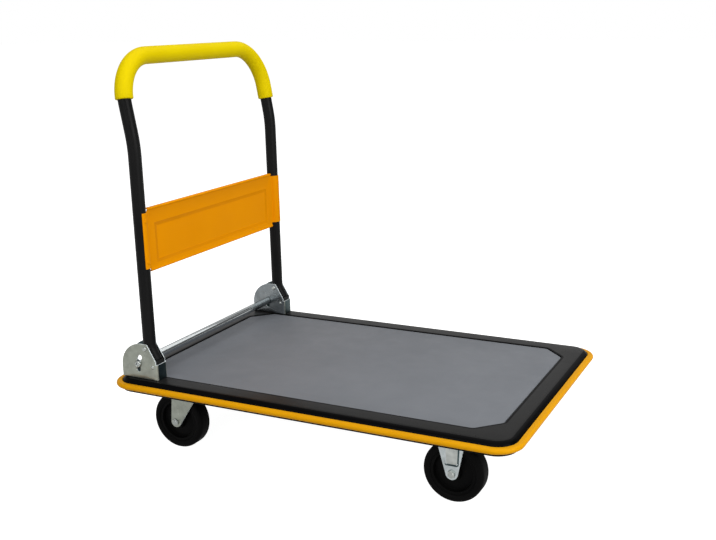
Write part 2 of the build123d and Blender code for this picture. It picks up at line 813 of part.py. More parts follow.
# Panel: folded sheet with a pressed field, its tabs wrap the fronts of the legs
panel_height = panel_top - panel_bottom
saddle_inner = tube_radius + tab_gap
saddle_outer = saddle_inner + panel_sheet
saddle_front = leg_x + saddle_outer
wrap_reach = 2 * saddle_outer
leg_edge = handle_half - tube_radius
wrap_dx = wrap_reach * cos(radians(tab_wrap))
wrap_dy = wrap_reach * sin(radians(tab_wrap))
with BuildPart() as handle_panel:
    with BuildSketch(side_plane(panel_half)) as panel_section:
        with Locations((panel_front, panel_bottom)):
            Rectangle(panel_flange, panel_height, align=(Align.MAX, Align.MIN))
        fillet(panel_section.vertices().group_by(Axis.X)[-1], radius=panel_bend)
        with Locations((panel_front - panel_flange, panel_bottom + panel_height / 2)):
            inner_depth = 2 * (panel_flange - panel_sheet)
            RectangleRounded(
                inner_depth,
                panel_height - 2 * panel_sheet,
                panel_bend - panel_sheet,
                mode=Mode.SUBTRACT,
            )
    extrude(amount=2 * panel_half)
    emboss_size = (2 * emboss_half, emboss_top - emboss_bottom, emboss_corner)
    emboss_middle = (0, (emboss_top + emboss_bottom) / 2)
    with BuildSketch(rear_plane(panel_front - panel_sheet)):
        with Locations(emboss_middle):
            RectangleRounded(*emboss_size)
    extrude(amount=emboss_depth, taper=emboss_slope)
    with BuildSketch(rear_plane(panel_front)):
        with Locations(emboss_middle):
            RectangleRounded(*emboss_size)
    extrude(amount=emboss_depth, taper=emboss_slope, mode=Mode.SUBTRACT)
    for side in sides.values():
        leg_y = side * handle_half
        with BuildSketch(Plane.XY.offset(tab_bottom)):
            with Locations((leg_x, leg_y)):
                Circle(saddle_outer)
            Polygon(
                (leg_x, leg_y),
                (leg_x + wrap_dx, leg_y + side * wrap_dy),
                (leg_x + wrap_reach, leg_y - side * wrap_reach),
                (panel_front - panel_sheet, leg_y - side * wrap_reach),
                (panel_front - panel_sheet, leg_y),
                align=None,
                mode=Mode.INTERSECT,
            )
            with Locations((panel_front, side * (panel_half + leg_edge) / 2)):
                Rectangle(panel_sheet, leg_edge - panel_half + 2 * tab_overlap, align=(Align.MAX, Align.CENTER))
            with Locations((leg_x, leg_y)):
                Circle(saddle_inner, mode=Mode.SUBTRACT)
        extrude(amount=tab_top - tab_bottom)
    with BuildSketch(front_plane(leg_x)):
        with Locations(*rivets_at):
            Circle(rivet_radius)
    extrude(amount=2 * saddle_outer, mode=Mode.SUBTRACT)
keep(handle_panel.part, "handle_panel")

with BuildPart() as panel_rivets:
    with BuildSketch(front_plane(leg_x)):
        with Locations(*rivets_at):
            Circle(rivet_head_radius)
    extrude(amount=saddle_outer + rivet_head_height)
    head_rims = panel_rivets.edges().filter_by(GeomType.CIRCLE).group_by(Axis.X)[-1]
    fillet(head_rims, radius=rivet_head_round)
    with Locations((leg_x, handle_half, panel_bottom), (leg_x, -handle_half, panel_bottom)):
        Cylinder(
            saddle_outer,
            panel_height,
            align=(Align.CENTER, Align.CENTER, Align.MIN),
            mode=Mode.SUBTRACT,
        )
    with BuildSketch(front_plane(saddle_front)):
        with Locations(*rivets_at):
            Circle(rivet_radius)
    extrude(amount=-rivet_length)
keep(panel_rivets.part, "panel_rivets")

# Release rod across both brackets with a cap on each end
with BuildPart() as release_rod:
    with BuildSketch(side_plane(bar_half)):
        with Locations((rod_x, rod_z)):
            Circle(bar_radius)
    extrude(amount=2 * bar_half)
    fillet(release_rod.edges().filter_by(GeomType.CIRCLE), radius=bar_round)
    with BuildSketch(side_plane(rod_half)):
        with Locations((rod_x, rod_z)):
            Circle(rod_radius)
    extrude(amount=2 * rod_half)
    with BuildSketch(Plane.XY.offset(rod_z - 2 * rod_radius)):
        with Locations((rod_x, handle_half), (rod_x, -handle_half)):
            Circle(guide_radius)
    extrude(amount=rod_radius + guide_depth, mode=Mode.SUBTRACT)
keep(release_rod.part, "release_rod")

for tag, side in sides.items():
    with BuildPart() as rod_cap:
        with BuildSketch(side_plane(side * cap_start)):
            with Locations((rod_x, rod_z)):
                Circle(cap_radius)
        extrude(amount=-side * (cap_end - cap_start))
        outer_rim = rod_cap.edges().filter_by(GeomType.CIRCLE).sort_by(Axis.Y)
        fillet(outer_rim[-1] if side > 0 else outer_rim[0], radius=cap_round)
        with BuildSketch(side_plane(side * cap_start)):
            with Locations((rod_x, rod_z)):
                Circle(rod_radius)
        extrude(amount=-side * (rod_half - cap_start), mode=Mode.SUBTRACT)
    keep(rod_cap.part, f"rod_cap_{tag}")

# Spring guides pressed into the underside of the rod
collar_top = rod_z - rod_radius - guide_collar_gap
collar_bottom = collar_top - guide_collar_height
with BuildPart() as spring_guides:
    guide_spots = [(rod_x, side * handle_half) for side in sides.values()]
    with BuildSketch(Plane.XY.offset(collar_bottom - guide_length)):
        with Locations(*guide_spots):
            Circle(guide_radius)
    extrude(amount=rod_z - rod_radius + guide_depth - collar_bottom + guide_length)
    with BuildSketch(Plane.XY.offset(collar_bottom)):
        with Locations(*guide_spots):
            Circle(guide_collar_radius)
    extrude(amount=guide_collar_height)
keep(spring_guides.part, "spring_guides")

# Return springs: a helix of half-turn biarcs from the bracket base to the guide collar
spring_low = base_top + spring_end_gap + spring_wire_radius
spring_high = collar_bottom - spring_end_gap - spring_wire_radius
spring_pitch = (spring_high - spring_low) / spring_turns


def coil_point(turn, y):
    a = 2 * pi * turn
    return Vector(rod_x + spring_radius * cos(a), y + spring_radius * sin(a), spring_low + spring_pitch * turn)


def coil_tangent(turn):
    a = 2 * pi * turn
    return Vector(-spring_radius * sin(a), spring_radius * cos(a), spring_pitch / (2 * pi)).normalized()


def biarc_joint(p0, t0, p1, t1):
    # Middle point and tangent of two equal-handled arcs from p0 to p1
    v = p1 - p0
    s = t0 + t1
    a = s.dot(s) - 4
    b = -2 * v.dot(s)
    c = v.dot(v)
    d = (-b - sqrt(b * b - 4 * a * c)) / (2 * a)
    q0 = p0 + t0 * d
    q1 = p1 - t1 * d
    return (q0 + q1) * 0.5, (q1 - q0).normalized()


half_turns = 2 * spring_turns
for tag, side in sides.items():
    y = side * handle_half
    with BuildPart() as spring:
        with BuildLine() as coil:
            for i in range(half_turns):
                start, start_t = coil_point(i / 2, y), coil_tangent(i / 2)
                end, end_t = coil_point((i + 1) / 2, y), coil_tangent((i + 1) / 2)
                joint, joint_t = biarc_joint(start, start_t, end, end_t)
                TangentArc(start, joint, tangent=start_t)
                TangentArc(joint, end, tangent=joint_t)
        with BuildSketch(Plane(coil.wire() @ 0, z_dir=coil.wire() % 0)):
            Circle(spring_wire_radius)
        sweep(path=coil.wire())
    keep(spring.part, f"return_spring_{tag}")

    # Least distance between neighbouring turns, measured on points of the swept line
    steps = 40
    line = [coil.wire() @ (i / (steps * spring_turns)) for i in range(steps * spring_turns + 1)]
    least = min(
        (line[i] - line[j]).length
        for i in range(len(line))
        for j in range(i + steps // 2, len(line))
    )
    print("return_spring", tag, "least gap", round(least - 2 * spring_wire_radius, 2))
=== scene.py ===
import bmesh
import bpy
import json
from math import acos, atan2, cos, degrees, pi, radians, sin, sqrt, tan
from mathutils import Matrix, Vector


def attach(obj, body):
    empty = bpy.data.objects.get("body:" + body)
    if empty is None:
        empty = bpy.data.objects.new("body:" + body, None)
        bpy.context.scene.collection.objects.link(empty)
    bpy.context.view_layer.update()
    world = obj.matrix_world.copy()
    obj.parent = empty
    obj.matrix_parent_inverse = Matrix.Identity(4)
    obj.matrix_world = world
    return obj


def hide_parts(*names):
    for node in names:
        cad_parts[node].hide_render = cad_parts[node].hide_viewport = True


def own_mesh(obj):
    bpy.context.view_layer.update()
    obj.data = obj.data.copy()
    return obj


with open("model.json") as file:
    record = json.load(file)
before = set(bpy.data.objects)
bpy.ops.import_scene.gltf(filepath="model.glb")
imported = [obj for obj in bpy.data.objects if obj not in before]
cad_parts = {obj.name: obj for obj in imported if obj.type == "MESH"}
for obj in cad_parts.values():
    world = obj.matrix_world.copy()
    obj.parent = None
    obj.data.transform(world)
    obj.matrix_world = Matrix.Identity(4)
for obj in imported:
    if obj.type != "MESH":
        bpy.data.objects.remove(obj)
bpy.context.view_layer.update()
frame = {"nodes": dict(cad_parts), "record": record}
nodes = frame["nodes"]
scene = bpy.context.scene
sides = {"left": 1, "right": -1}  # +Y is the left of a person pushing
print("stage: frame loaded,", len(nodes), "CAD nodes")


# Shader groups shared by the finishes


def feed(tree, socket, value):
    # another node's socket is linked, a plain value is set
    if isinstance(value, bpy.types.NodeSocket):
        tree.links.new(value, socket)
    else:
        socket.default_value = value


def addNode(tree, kind, feeds):
    node = tree.nodes.new("ShaderNode" + kind)
    for label, value in feeds.items():
        feed(tree, node.inputs[label], value)
    return node.outputs


def addMix(tree, share, first, second):
    mix = tree.nodes.new("ShaderNodeMix")
    mix.data_type = "RGBA"
    for label, value in (("Factor", share), ("A", first), ("B", second)):
        feed(tree, mix.inputs[label], value)
    return mix.outputs["Result"]


def addMath(tree, operation, *values):
    node = tree.nodes.new("ShaderNodeMath")
    node.operation = operation
    for i, value in enumerate(values):
        feed(tree, node.inputs[i], value)
    return node.outputs["Value"]


def startGroup(name, inputs, outputs):
    group = bpy.data.node_groups.new(name, "ShaderNodeTree")
    for way, sockets in (("INPUT", inputs), ("OUTPUT", outputs)):
        for label, kind in sockets.items():
            group.interface.new_socket(label, in_out=way, socket_type="NodeSocket" + kind)
    return group, group.nodes.new("NodeGroupInput").outputs, group.nodes.new("NodeGroupOutput").inputs


def placeGroup(tree, group, values):
    node = tree.nodes.new("ShaderNodeGroup")
    node.node_tree = group
    for label, value in values.items():
        node.inputs[label].default_value = value
    return node.outputs


# slow drift between two tones of one finish
toneDrift, given, made = startGroup(
    "toneDrift", {"Tone": "Color", "Other": "Color", "Scale": "Float"}, {"Colour": "Color"})
spots = addNode(toneDrift, "TexCoord", {})["Object"]
drift = addNode(toneDrift, "TexNoise", {"Vector": spots, "Scale": given["Scale"], "Detail": 4})["Fac"]
share = addNode(toneDrift, "MapRange", {"Value": drift, "From Min": 0.32, "From Max": 0.68})["Result"]
feed(toneDrift, made["Colour"], addMix(toneDrift, share, given["Tone"], given["Other"]))

# fine skin of paint, rubber or plating: a height for bump, and a roughness that drifts
fineSkin, given, made = startGroup(
    "fineSkin", {"Scale": "Float", "Rough low": "Float", "Rough high": "Float"},
    {"Height": "Float", "Roughness": "Float"})
spots = addNode(fineSkin, "TexCoord", {})["Object"]
grain = addNode(fineSkin, "TexNoise", {"Vector": spots, "Scale": given["Scale"], "Detail": 2})["Fac"]
broad = addNode(fineSkin, "TexNoise", {"Vector": spots, "Scale": 23, "Detail": 5})["Fac"]
roughness = addNode(fineSkin, "MapRange", {"Value": broad, "From Min": 0.3, "From Max": 0.7,
                                           "To Min": given["Rough low"], "To Max": given["Rough high"]})
feed(fineSkin, made["Height"], grain)
feed(fineSkin, made["Roughness"], roughness["Result"])

# short rub marks: thin stretched streaks as a mask
rubMarks, given, made = startGroup("rubMarks", {"Scale": "Float", "Amount": "Float"}, {"Mask": "Float"})
spots = addNode(rubMarks, "TexCoord", {})["Object"]
stretch = addNode(rubMarks, "Mapping", {"Vector": spots, "Scale": (1.0, 0.12, 1.0),
                                        "Rotation": (0.3, 0.2, 0.5)})["Vector"]
streak = addNode(rubMarks, "TexNoise", {"Vector": stretch, "Scale": given["Scale"], "Detail": 6})["Fac"]
mask = addNode(rubMarks, "MapRange", {"Value": streak, "From Min": 0.6, "From Max": 0.75,
                                      "To Max": given["Amount"]})
feed(rubMarks, made["Mask"], mask["Result"])


def makeFinish(name, look):
    finish = bpy.data.materials.new(name)
    finish.use_nodes = True
    tree = finish.node_tree
    shader = tree.nodes["Principled BSDF"].inputs
    tone, other = ((*colour, 1) for colour in look["tones"])
    colour = placeGroup(tree, toneDrift, {"Tone": tone, "Other": other, "Scale": look["drift"]})["Colour"]
    low, high = look["rough"]
    skin = placeGroup(tree, fineSkin, {"Scale": look["grain"], "Rough low": low, "Rough high": high})
    strength, depth = look["bump"]
    bump = addNode(tree, "Bump", {"Strength": strength, "Distance": depth, "Height": skin["Height"]})
    if "rub" in look:  # light streaks where things have slid over the surface
        scale, amount, rubTone = look["rub"]
        rub = placeGroup(tree, rubMarks, {"Scale": scale, "Amount": amount})
        colour = addMix(tree, rub["Mask"], colour, (*rubTone, 1))
    feed(tree, shader["Base Color"], colour)
    feed(tree, shader["Roughness"], skin["Roughness"])
    feed(tree, shader["Normal"], bump["Normal"])
    shader["Metallic"].default_value = look.get("metallic", 0.0)
    shader["Specular IOR Level"].default_value = look.get("specular", 0.5)
    if "sheen" in look:  # dusty paint is paler at a low angle
        shader["Sheen Weight"].default_value, shader["Sheen Roughness"].default_value = look["sheen"]
    return finish


# tones drift into each other; bump is (strength, depth in metres); rub is (scale, amount, colour)
# rough is (lowest, highest) and sheen is (weight, roughness)
looks = {
    "deckPaint": dict(
        slot="deck_paint", tones=((0.005, 0.005, 0.005), (0.007, 0.0067, 0.0065)), drift=6, grain=1400,
        rough=(0.26, 0.36), bump=(0.12, 0.0004), specular=0.08, sheen=(0.05, 0.35),
        rub=(40, 0.05, (0.04, 0.04, 0.04))),
    # painted shade: a blacker copy of the deck paint for the rolled side and the seam round the mat
    "shadedDeckPaint": dict(
        tones=((0.0008, 0.0008, 0.001), (0.0014, 0.0014, 0.0016)), drift=6, grain=1400, rough=(0.26, 0.36),
        bump=(0.12, 0.0004), specular=0.03),
    "matRubber": dict(
        slot="mat_rubber", tones=((0.149, 0.158, 0.174), (0.134, 0.143, 0.158)), drift=5, grain=700,
        rough=(0.55, 0.68), bump=(0.35, 0.0005), specular=0.3, rub=(30, 0.06, (0.25, 0.26, 0.28))),
    "bumperPlastic": dict(
        slot="bumper_plastic", tones=((0.655, 0.30, 0.002), (0.62, 0.275, 0.002)), drift=9, grain=600,
        rough=(0.26, 0.34), bump=(0.08, 0.0004), specular=0.03),
    "panelPaint": dict(
        slot="panel_paint", tones=((0.765, 0.276, 0.0003), (0.735, 0.258, 0.0003)), drift=7, grain=1500,
        rough=(0.4, 0.5), bump=(0.1, 0.0003), specular=0.02, rub=(35, 0.03, (0.82, 0.42, 0.04))),
    # painted shade: a darker copy of the panel paint for the pressed slope and under the top fold
    "panelShade": dict(
        tones=((0.70, 0.242, 0.0003), (0.66, 0.228, 0.0003)), drift=12, grain=1500, rough=(0.45, 0.55),
        bump=(0.1, 0.0003), specular=0.02),
    "gripPlastic": dict(
        slot="grip_plastic", tones=((0.69, 0.54, 0.0003), (0.66, 0.505, 0.0003)), drift=10, grain=1100,
        rough=(0.45, 0.58), bump=(0.22, 0.0004), specular=0.03),
    "tubePaint": dict(
        slot="tube_paint", tones=((0.004, 0.004, 0.0042), (0.0065, 0.0065, 0.0065)), drift=9, grain=1500,
        rough=(0.34, 0.46), bump=(0.15, 0.0004), specular=0.08),
    "zincSheet": dict(
        slot="zinc_sheet", tones=((0.31, 0.33, 0.285), (0.225, 0.24, 0.208)), drift=55, grain=2200,
        rough=(0.3, 0.42), bump=(0.12, 0.0003), metallic=0.75, rub=(90, 0.35, (0.44, 0.465, 0.41))),
    "forkZinc": dict(
        slot="zinc_sheet", tones=((0.47, 0.51, 0.52), (0.35, 0.385, 0.39)), drift=60, grain=2300,
        rough=(0.14, 0.26), bump=(0.1, 0.0003), metallic=1.0, rub=(100, 0.3, (0.62, 0.66, 0.67))),
    # painted shade: a darker, bluer copy of the zinc for the inner cheeks of the brackets
    "zincInnerShade": dict(
        tones=((0.25, 0.272, 0.282), (0.18, 0.199, 0.208)), drift=55, grain=2200, rough=(0.2, 0.32),
        bump=(0.08, 0.0003), metallic=1.0, rub=(90, 0.35, (0.42, 0.48, 0.5))),
    # painted shade: the darkest copy of the zinc, for the bracket walls and insides and the shaded steps of
    # the forks
    "zincShade": dict(
        tones=((0.05, 0.075, 0.078), (0.035, 0.055, 0.06)), drift=55, grain=2200, rough=(0.3, 0.42),
        bump=(0.12, 0.0003), metallic=1.0),
    "zincBright": dict(
        slot="zinc_hardware", tones=((0.66, 0.67, 0.63), (0.54, 0.55, 0.52)), drift=70, grain=2500,
        rough=(0.2, 0.34), bump=(0.08, 0.0002), metallic=1.0, rub=(110, 0.3, (0.8, 0.8, 0.78))),
    "pinZinc": dict(
        slot="zinc_hardware", tones=((0.42, 0.44, 0.42), (0.30, 0.32, 0.31)), drift=70, grain=2500,
        rough=(0.2, 0.32), bump=(0.08, 0.0002), metallic=1.0),
    # painted highlight: a near-white zinc for the cut edges of the sheet
    "zincEdgeHighlight": dict(
        tones=((0.86, 0.93, 0.94), (0.78, 0.85, 0.87)), drift=80, grain=2500, rough=(0.24, 0.36),
        bump=(0.05, 0.0002), metallic=0.25),
    "rodZinc": dict(
        slot="zinc_hardware", tones=((0.50, 0.53, 0.54), (0.44, 0.465, 0.47)), drift=60, grain=2500,
        rough=(0.12, 0.2), bump=(0.04, 0.0002), metallic=1.0, rub=(80, 0.3, (0.58, 0.6, 0.6))),
    "springSteel": dict(
        slot="spring_steel", tones=((0.56, 0.56, 0.55), (0.47, 0.47, 0.46)), drift=90, grain=2600,
        rough=(0.22, 0.32), bump=(0.05, 0.0002), metallic=1.0),
    "tyreRubber": dict(
        slot="tyre_rubber", tones=((0.0022, 0.0022, 0.0022), (0.0036, 0.0036, 0.0036)), drift=18,
        grain=900, rough=(0.5, 0.66), bump=(0.3, 0.0005), specular=0.03,
        rub=(45, 0.08, (0.012, 0.012, 0.011))),
    "hubPlastic": dict(
        slot="hub_plastic", tones=((0.002, 0.002, 0.002), (0.0034, 0.0034, 0.0034)), drift=20, grain=1200,
        rough=(0.4, 0.52), bump=(0.12, 0.0003), specular=0.03),
    "blackRubber": dict(
        slot="black_rubber", tones=((0.006, 0.006, 0.006), (0.009, 0.009, 0.009)), drift=30, grain=900,
        rough=(0.55, 0.7), bump=(0.25, 0.0004), specular=0.15),
    "bushPlastic": dict(
        slot="bush_plastic", tones=((0.52, 0.50, 0.44), (0.46, 0.44, 0.39)), drift=40, grain=1200,
        rough=(0.4, 0.5), bump=(0.1, 0.0003)),
}
finishes = {name: makeFinish(name, look) for name, look in looks.items()}
# CAD nodes take the first finish of their slot
finishOfSlot = {look["slot"]: name for name, look in reversed(looks.items()) if "slot" in look}

for row in frame["record"]["subparts"]:  # CAD nodes that stay visible
    held = nodes[row["node"]].data.materials
    held.clear()
    held.append(finishes[finishOfSlot[row["material_slot"]]])
print("stage: finishes made,", len(finishes))


# Modelling helpers: pieces are drawn in millimetres and scaled to metres when finished

planeAxis = {"XZ": (0, -1, 0), "YZ": (1, 0, 0), "XY": (0, 0, 1)}
millimetre = 0.001  # in metres
nearly = 0.01  # mm, for picking vertices by their place
weld = 0.004  # mm, vertices closer than this become one
rimAngle = 50  # degrees, sharper edges can have a rounded rim


def spot(plane, level, a, b):
    return {"XZ": Vector((a, level, b)), "YZ": Vector((level, a, b)), "XY": Vector((a, b, level))}[plane]


def onlyVerts(items):
    return [item for item in items if isinstance(item, bmesh.types.BMVert)]


def onlyEdges(items):
    return [item for item in items if isinstance(item, bmesh.types.BMEdge)]


def newEdges(bm, before):
    return [edge for edge in bm.edges if edge not in before]


def edgesWhere(edges, test):
    return [edge for edge in edges if all(test(vert.co) for vert in edge.verts)]


def vertsOf(edges):
    return list({vert for edge in edges for vert in edge.verts})


def spinVert(bm, vert, cent, axis, angle, steps):
    spun = bmesh.ops.spin(bm, geom=[vert], cent=cent, axis=axis, angle=angle, steps=steps)
    return onlyVerts(spun["geom_last"])[0]


def drawPath(bm, plane, level, start, moves, close=False):
    # a move is a point (a, b), or ("arc", centreA, centreB, degrees, steps)
    before = set(bm.edges)
    first = vert = bm.verts.new(spot(plane, level, *start))
    for move in moves:
        if move[0] == "arc":
            cent = spot(plane, level, move[1], move[2])
            vert = spinVert(bm, vert, cent, planeAxis[plane], radians(move[3]), move[4])
        else:
            vert = bmesh.ops.extrude_vert_indiv(bm, verts=[vert])["verts"][0]
            vert.co = spot(plane, level, *move)
    if close:
        bm.edges.new((vert, first))
    return newEdges(bm, before)


def arcMarks(a, b, radius, start, end, steps):
    # points along an arc, angles in degrees
    turns = [radians(start + (end - start) * i / steps) for i in range(steps + 1)]
    return [(a + radius * cos(turn), b + radius * sin(turn)) for turn in turns]


def turnPath(bm, edges, cent, axis, steps):
    geom = edges + vertsOf(edges)
    bmesh.ops.spin(bm, geom=geom, cent=cent, axis=axis, angle=2 * pi, steps=steps, use_merge=True)


def roundedLoop(bm, corners, radius, z, steps):
    # closed loop, counter-clockwise corners; each corner is one vertex spun through its turn
    before = set(bm.edges)
    count = len(corners)
    ends = []
    for i in range(count):
        here = Vector((*corners[i], z))
        inward = (here - Vector((*corners[i - 1], z))).normalized()
        onward = (Vector((*corners[(i + 1) % count], z)) - here).normalized()
        turn = inward.angle(onward)
        startAt = here - inward * radius * tan(turn / 2)
        cent = startAt + Vector((-inward.y, inward.x, 0)) * radius
        first = bm.verts.new(startAt)
        ends.append((first, spinVert(bm, first, cent, planeAxis["XY"], turn, steps)))
    for i in range(count):
        bm.edges.new((ends[i][1], ends[(i + 1) % count][0]))
    return newEdges(bm, before)


def boxCorners(halfX, halfY):
    return [(-halfX, -halfY), (halfX, -halfY), (halfX, halfY), (-halfX, halfY)]


def joinLoops(bm, loops):
    return [bmesh.ops.bridge_loops(bm, edges=low + high)["faces"] for low, high in zip(loops, loops[1:])]


def fillLoops(bm, loops):
    # joins the loops into a solid, closed at both ends
    joinLoops(bm, loops)
    for rim in (loops[0], loops[-1]):
        bmesh.ops.contextual_create(bm, geom=rim)


def paintFaces(faces, place):
    # place counts in the piece's own list of finishes
    for face in faces:
        face.material_index = place


def roundOff(bm, geom, offset, segments, affect="EDGES"):
    bmesh.ops.bevel(bm, geom=geom, offset=offset, segments=segments, profile=0.5, affect=affect, material=-1)


def mirrorLeft(bm):
    geom = bm.verts[:] + bm.edges[:] + bm.faces[:]
    bmesh.ops.mirror(bm, geom=geom, matrix=Matrix(), merge_dist=nearly, axis="Y")


def addObject(name, data):
    thing = bpy.data.objects.new(name, data)
    scene.collection.objects.link(thing)
    return thing


def finishPiece(bm, name, body, finish, stands, crease=50, sheet=None, edge=None, rimFinish=None,
                more=(), inward=0):
    bmesh.ops.remove_doubles(bm, verts=bm.verts, dist=weld)
    bmesh.ops.recalc_face_normals(bm, faces=bm.faces)
    bmesh.ops.scale(bm, vec=(millimetre,) * 3, verts=bm.verts)
    mesh = bpy.data.meshes.new(name)
    bm.to_mesh(mesh)
    bm.free()
    mesh.shade_smooth()
    mesh.set_sharp_from_angle(angle=radians(crease))
    piece = addObject(name, mesh)
    mesh.materials.append(finishes[finish])
    if sheet:  # (thickness in mm, offset): bent sheet gets its thickness here
        wall = piece.modifiers.new("sheet", "SOLIDIFY")
        wall.thickness, wall.offset, wall.use_even_offset = sheet[0] * millimetre, sheet[1], True
        if rimFinish:  # the cut edge of the sheet
            mesh.materials.append(finishes[rimFinish])
            wall.material_offset_rim = 1
    for extra in more:
        mesh.materials.append(finishes[extra])
    if inward:  # the inner side of the sheet takes the finish this many places on
        piece.modifiers["sheet"].material_offset = inward
    if edge:  # rounded rims, in mm
        rim = piece.modifiers.new("rim", "BEVEL")
        rim.width, rim.segments, rim.limit_method = edge * millimetre, 2, "ANGLE"
        rim.angle_limit, rim.harden_normals = radians(rimAngle), True
    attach(piece, body)
    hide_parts(*stands)
    return piece


# Deck: pressed pan, mat and bumper

deck = dict(halfX=438, halfY=288, corner=41, cornerSteps=16, top=161, skirtBottom=134.2, lip=14,
            footRound=2.5, footSteps=3, shoulder=15, shoulderSteps=10, sheet=1.8, shadedRings=13, shadedSeam=4,
            recessMid=-7.4, recessX=401.5, recessY=240.25, recessCut=45, recessRound=14, recessSteps=6,
            recessDepth=3.5, recessEdge=1.2,
            recessRoll=[(1, 0), (0.6, 0.08), (0.25, 0.35), (0, 1)])  # shares of the edge, (across, down)


def recessLoop(bm, grow, z):
    halfX, half = deck["recessX"] + grow, deck["recessY"] + grow
    rear, front = deck["recessMid"] - halfX, deck["recessMid"] + halfX
    cut = deck["recessCut"] + grow * (2 - sqrt(2))
    corners = [(rear + cut, -half), (front - cut, -half), (front, cut - half), (front, half - cut),
               (front - cut, half), (rear + cut, half), (rear, half - cut), (rear, cut - half)]
    return roundedLoop(bm, corners, deck["recessRound"] + grow, z, deck["recessSteps"])


def skirtLoop(bm, out, z):
    corners = boxCorners(deck["halfX"] + out, deck["halfY"] + out)
    return roundedLoop(bm, corners, deck["corner"] + out, z, deck["cornerSteps"])


def makeDeckPan():
    bm = bmesh.new()
    top, low = deck["top"], deck["skirtBottom"]
    shoulder, foot = deck["shoulder"], deck["footRound"]
    rings = [(-deck["lip"], low)] + arcMarks(-foot, low + foot, foot, -90, 0, deck["footSteps"])
    rings += arcMarks(-shoulder, top - shoulder, shoulder, 0, 90, deck["shoulderSteps"])
    loops = [skirtLoop(bm, out, z) for out, z in rings]
    for i, faces in enumerate(joinLoops(bm, loops)):
        paintFaces(faces, int(i < deck["shadedRings"]))  # painted shade: the rolled side takes a blacker copy of the deck paint than the flat rim
    edge = deck["recessEdge"]
    wells = [(edge + deck["shadedSeam"], top)]
    wells += [(edge * across, top - edge * down) for across, down in deck["recessRoll"]]
    wells.append((0, top - deck["recessDepth"]))
    dips = [recessLoop(bm, grow, z) for grow, z in wells]
    for faces in joinLoops(bm, dips):
        paintFaces(faces, 1)  # painted shade: so does a thin seam ring of the flat round the mat
    bmesh.ops.triangle_fill(bm, edges=loops[-1] + dips[0], use_beauty=True)
    bmesh.ops.contextual_create(bm, geom=dips[-1])
    finishPiece(bm, "deckPan", "platform", "deckPaint", ["deck_pan"], crease=40, sheet=(deck["sheet"], -1),
                more=["shadedDeckPaint"])


mat = dict(gap=1.5, thick=2.2, edge=0.7, roll=0.3)


def makeMat():
    bm = bmesh.new()
    low = deck["top"] - deck["recessDepth"]
    high, edge, inset = low + mat["thick"], mat["edge"], -mat["gap"]
    roll = edge * mat["roll"]
    rings = [(inset, low), (inset, high - edge), (inset - roll, high - roll), (inset - edge, high)]
    loops = [recessLoop(bm, grow, z) for grow, z in rings]
    fillLoops(bm, loops)
    finishPiece(bm, "deckMat", "platform", "matRubber", ["deck_mat"], crease=32)


bumper = dict(out=12, height=11, mid=147.4, roundSteps=12)


def makeBumper():
    bm = bmesh.new()
    half, mid = bumper["height"] / 2, bumper["mid"]
    nose = arcMarks(bumper["out"] - half, mid, half, -90, 90, bumper["roundSteps"])
    section = [(0, mid - half)] + nose + [(0, mid + half)]
    loops = [skirtLoop(bm, out, z) for out, z in section]
    joinLoops(bm, loops + loops[:1])
    finishPiece(bm, "bumperRing", "platform", "bumperPlastic", ["bumper"])


makeDeckPan()
makeMat()
makeBumper()
print("stage: deck, mat and bumper")


# Handle: tube, grip sleeve, panel and rivets

handle = dict(half=255.5, radius=13.35, around=48, pivotX=-364, pivotZ=228, legX=-362.3,
              footAngle=30, footBend=45, footEnd=31.2, footLip=[(0.5, 0.96), (0, 0.92)], boreDepth=14,
              leanZ=650, leanAngle=9.5, leanBend=300, bendSteps=8, barZ=821.3, topBend=92, topSteps=18)
footTurn, leanTurn = radians(handle["footAngle"]), radians(handle["leanAngle"])
lean = Vector((-sin(leanTurn), 0, cos(leanTurn)))
footWay = Vector((sin(footTurn), 0, -cos(footTurn)))
footFront = Vector((cos(footTurn), 0, sin(footTurn)))
leanRun = (handle["barZ"] - handle["leanZ"]) / lean.z
overTop = Vector((lean.z, 0, -lean.x))  # turns the leaning leg over towards -Y


def loopCentre(loop):
    verts = vertsOf(loop)
    return sum((vert.co for vert in verts), Vector()) / len(verts)


def runOn(bm, loop, step):
    grown = bmesh.ops.extrude_edge_only(bm, edges=loop)["geom"]
    verts = onlyVerts(grown)
    bmesh.ops.translate(bm, vec=step, verts=verts)
    return [edge for edge in onlyEdges(grown) if all(vert in verts for vert in edge.verts)]


def bendOn(bm, loop, cent, axis, angle, steps):
    spun = bmesh.ops.spin(bm, geom=loop, cent=cent, axis=axis, angle=radians(angle), steps=steps)
    return onlyEdges(spun["geom_last"])


def lipOn(bm, loop, outward, steps):
    # carries an end on in steps of (distance along, scale of the loop)
    for along, factor in steps:
        loop = runOn(bm, loop, outward * along)
        shift = Matrix.Translation(-loopCentre(loop))
        bmesh.ops.scale(bm, vec=(factor,) * 3, space=shift, verts=vertsOf(loop))
    return loop


def ringAcross(bm, centre, way, radius, around):
    turn = Vector((0, 0, 1)).rotation_difference(way).to_matrix().to_4x4()
    made = bmesh.ops.create_circle(bm, cap_ends=False, segments=around, radius=radius,
                                   matrix=Matrix.Translation(centre) @ turn)
    return list({edge for vert in made["verts"] for edge in vert.link_edges})


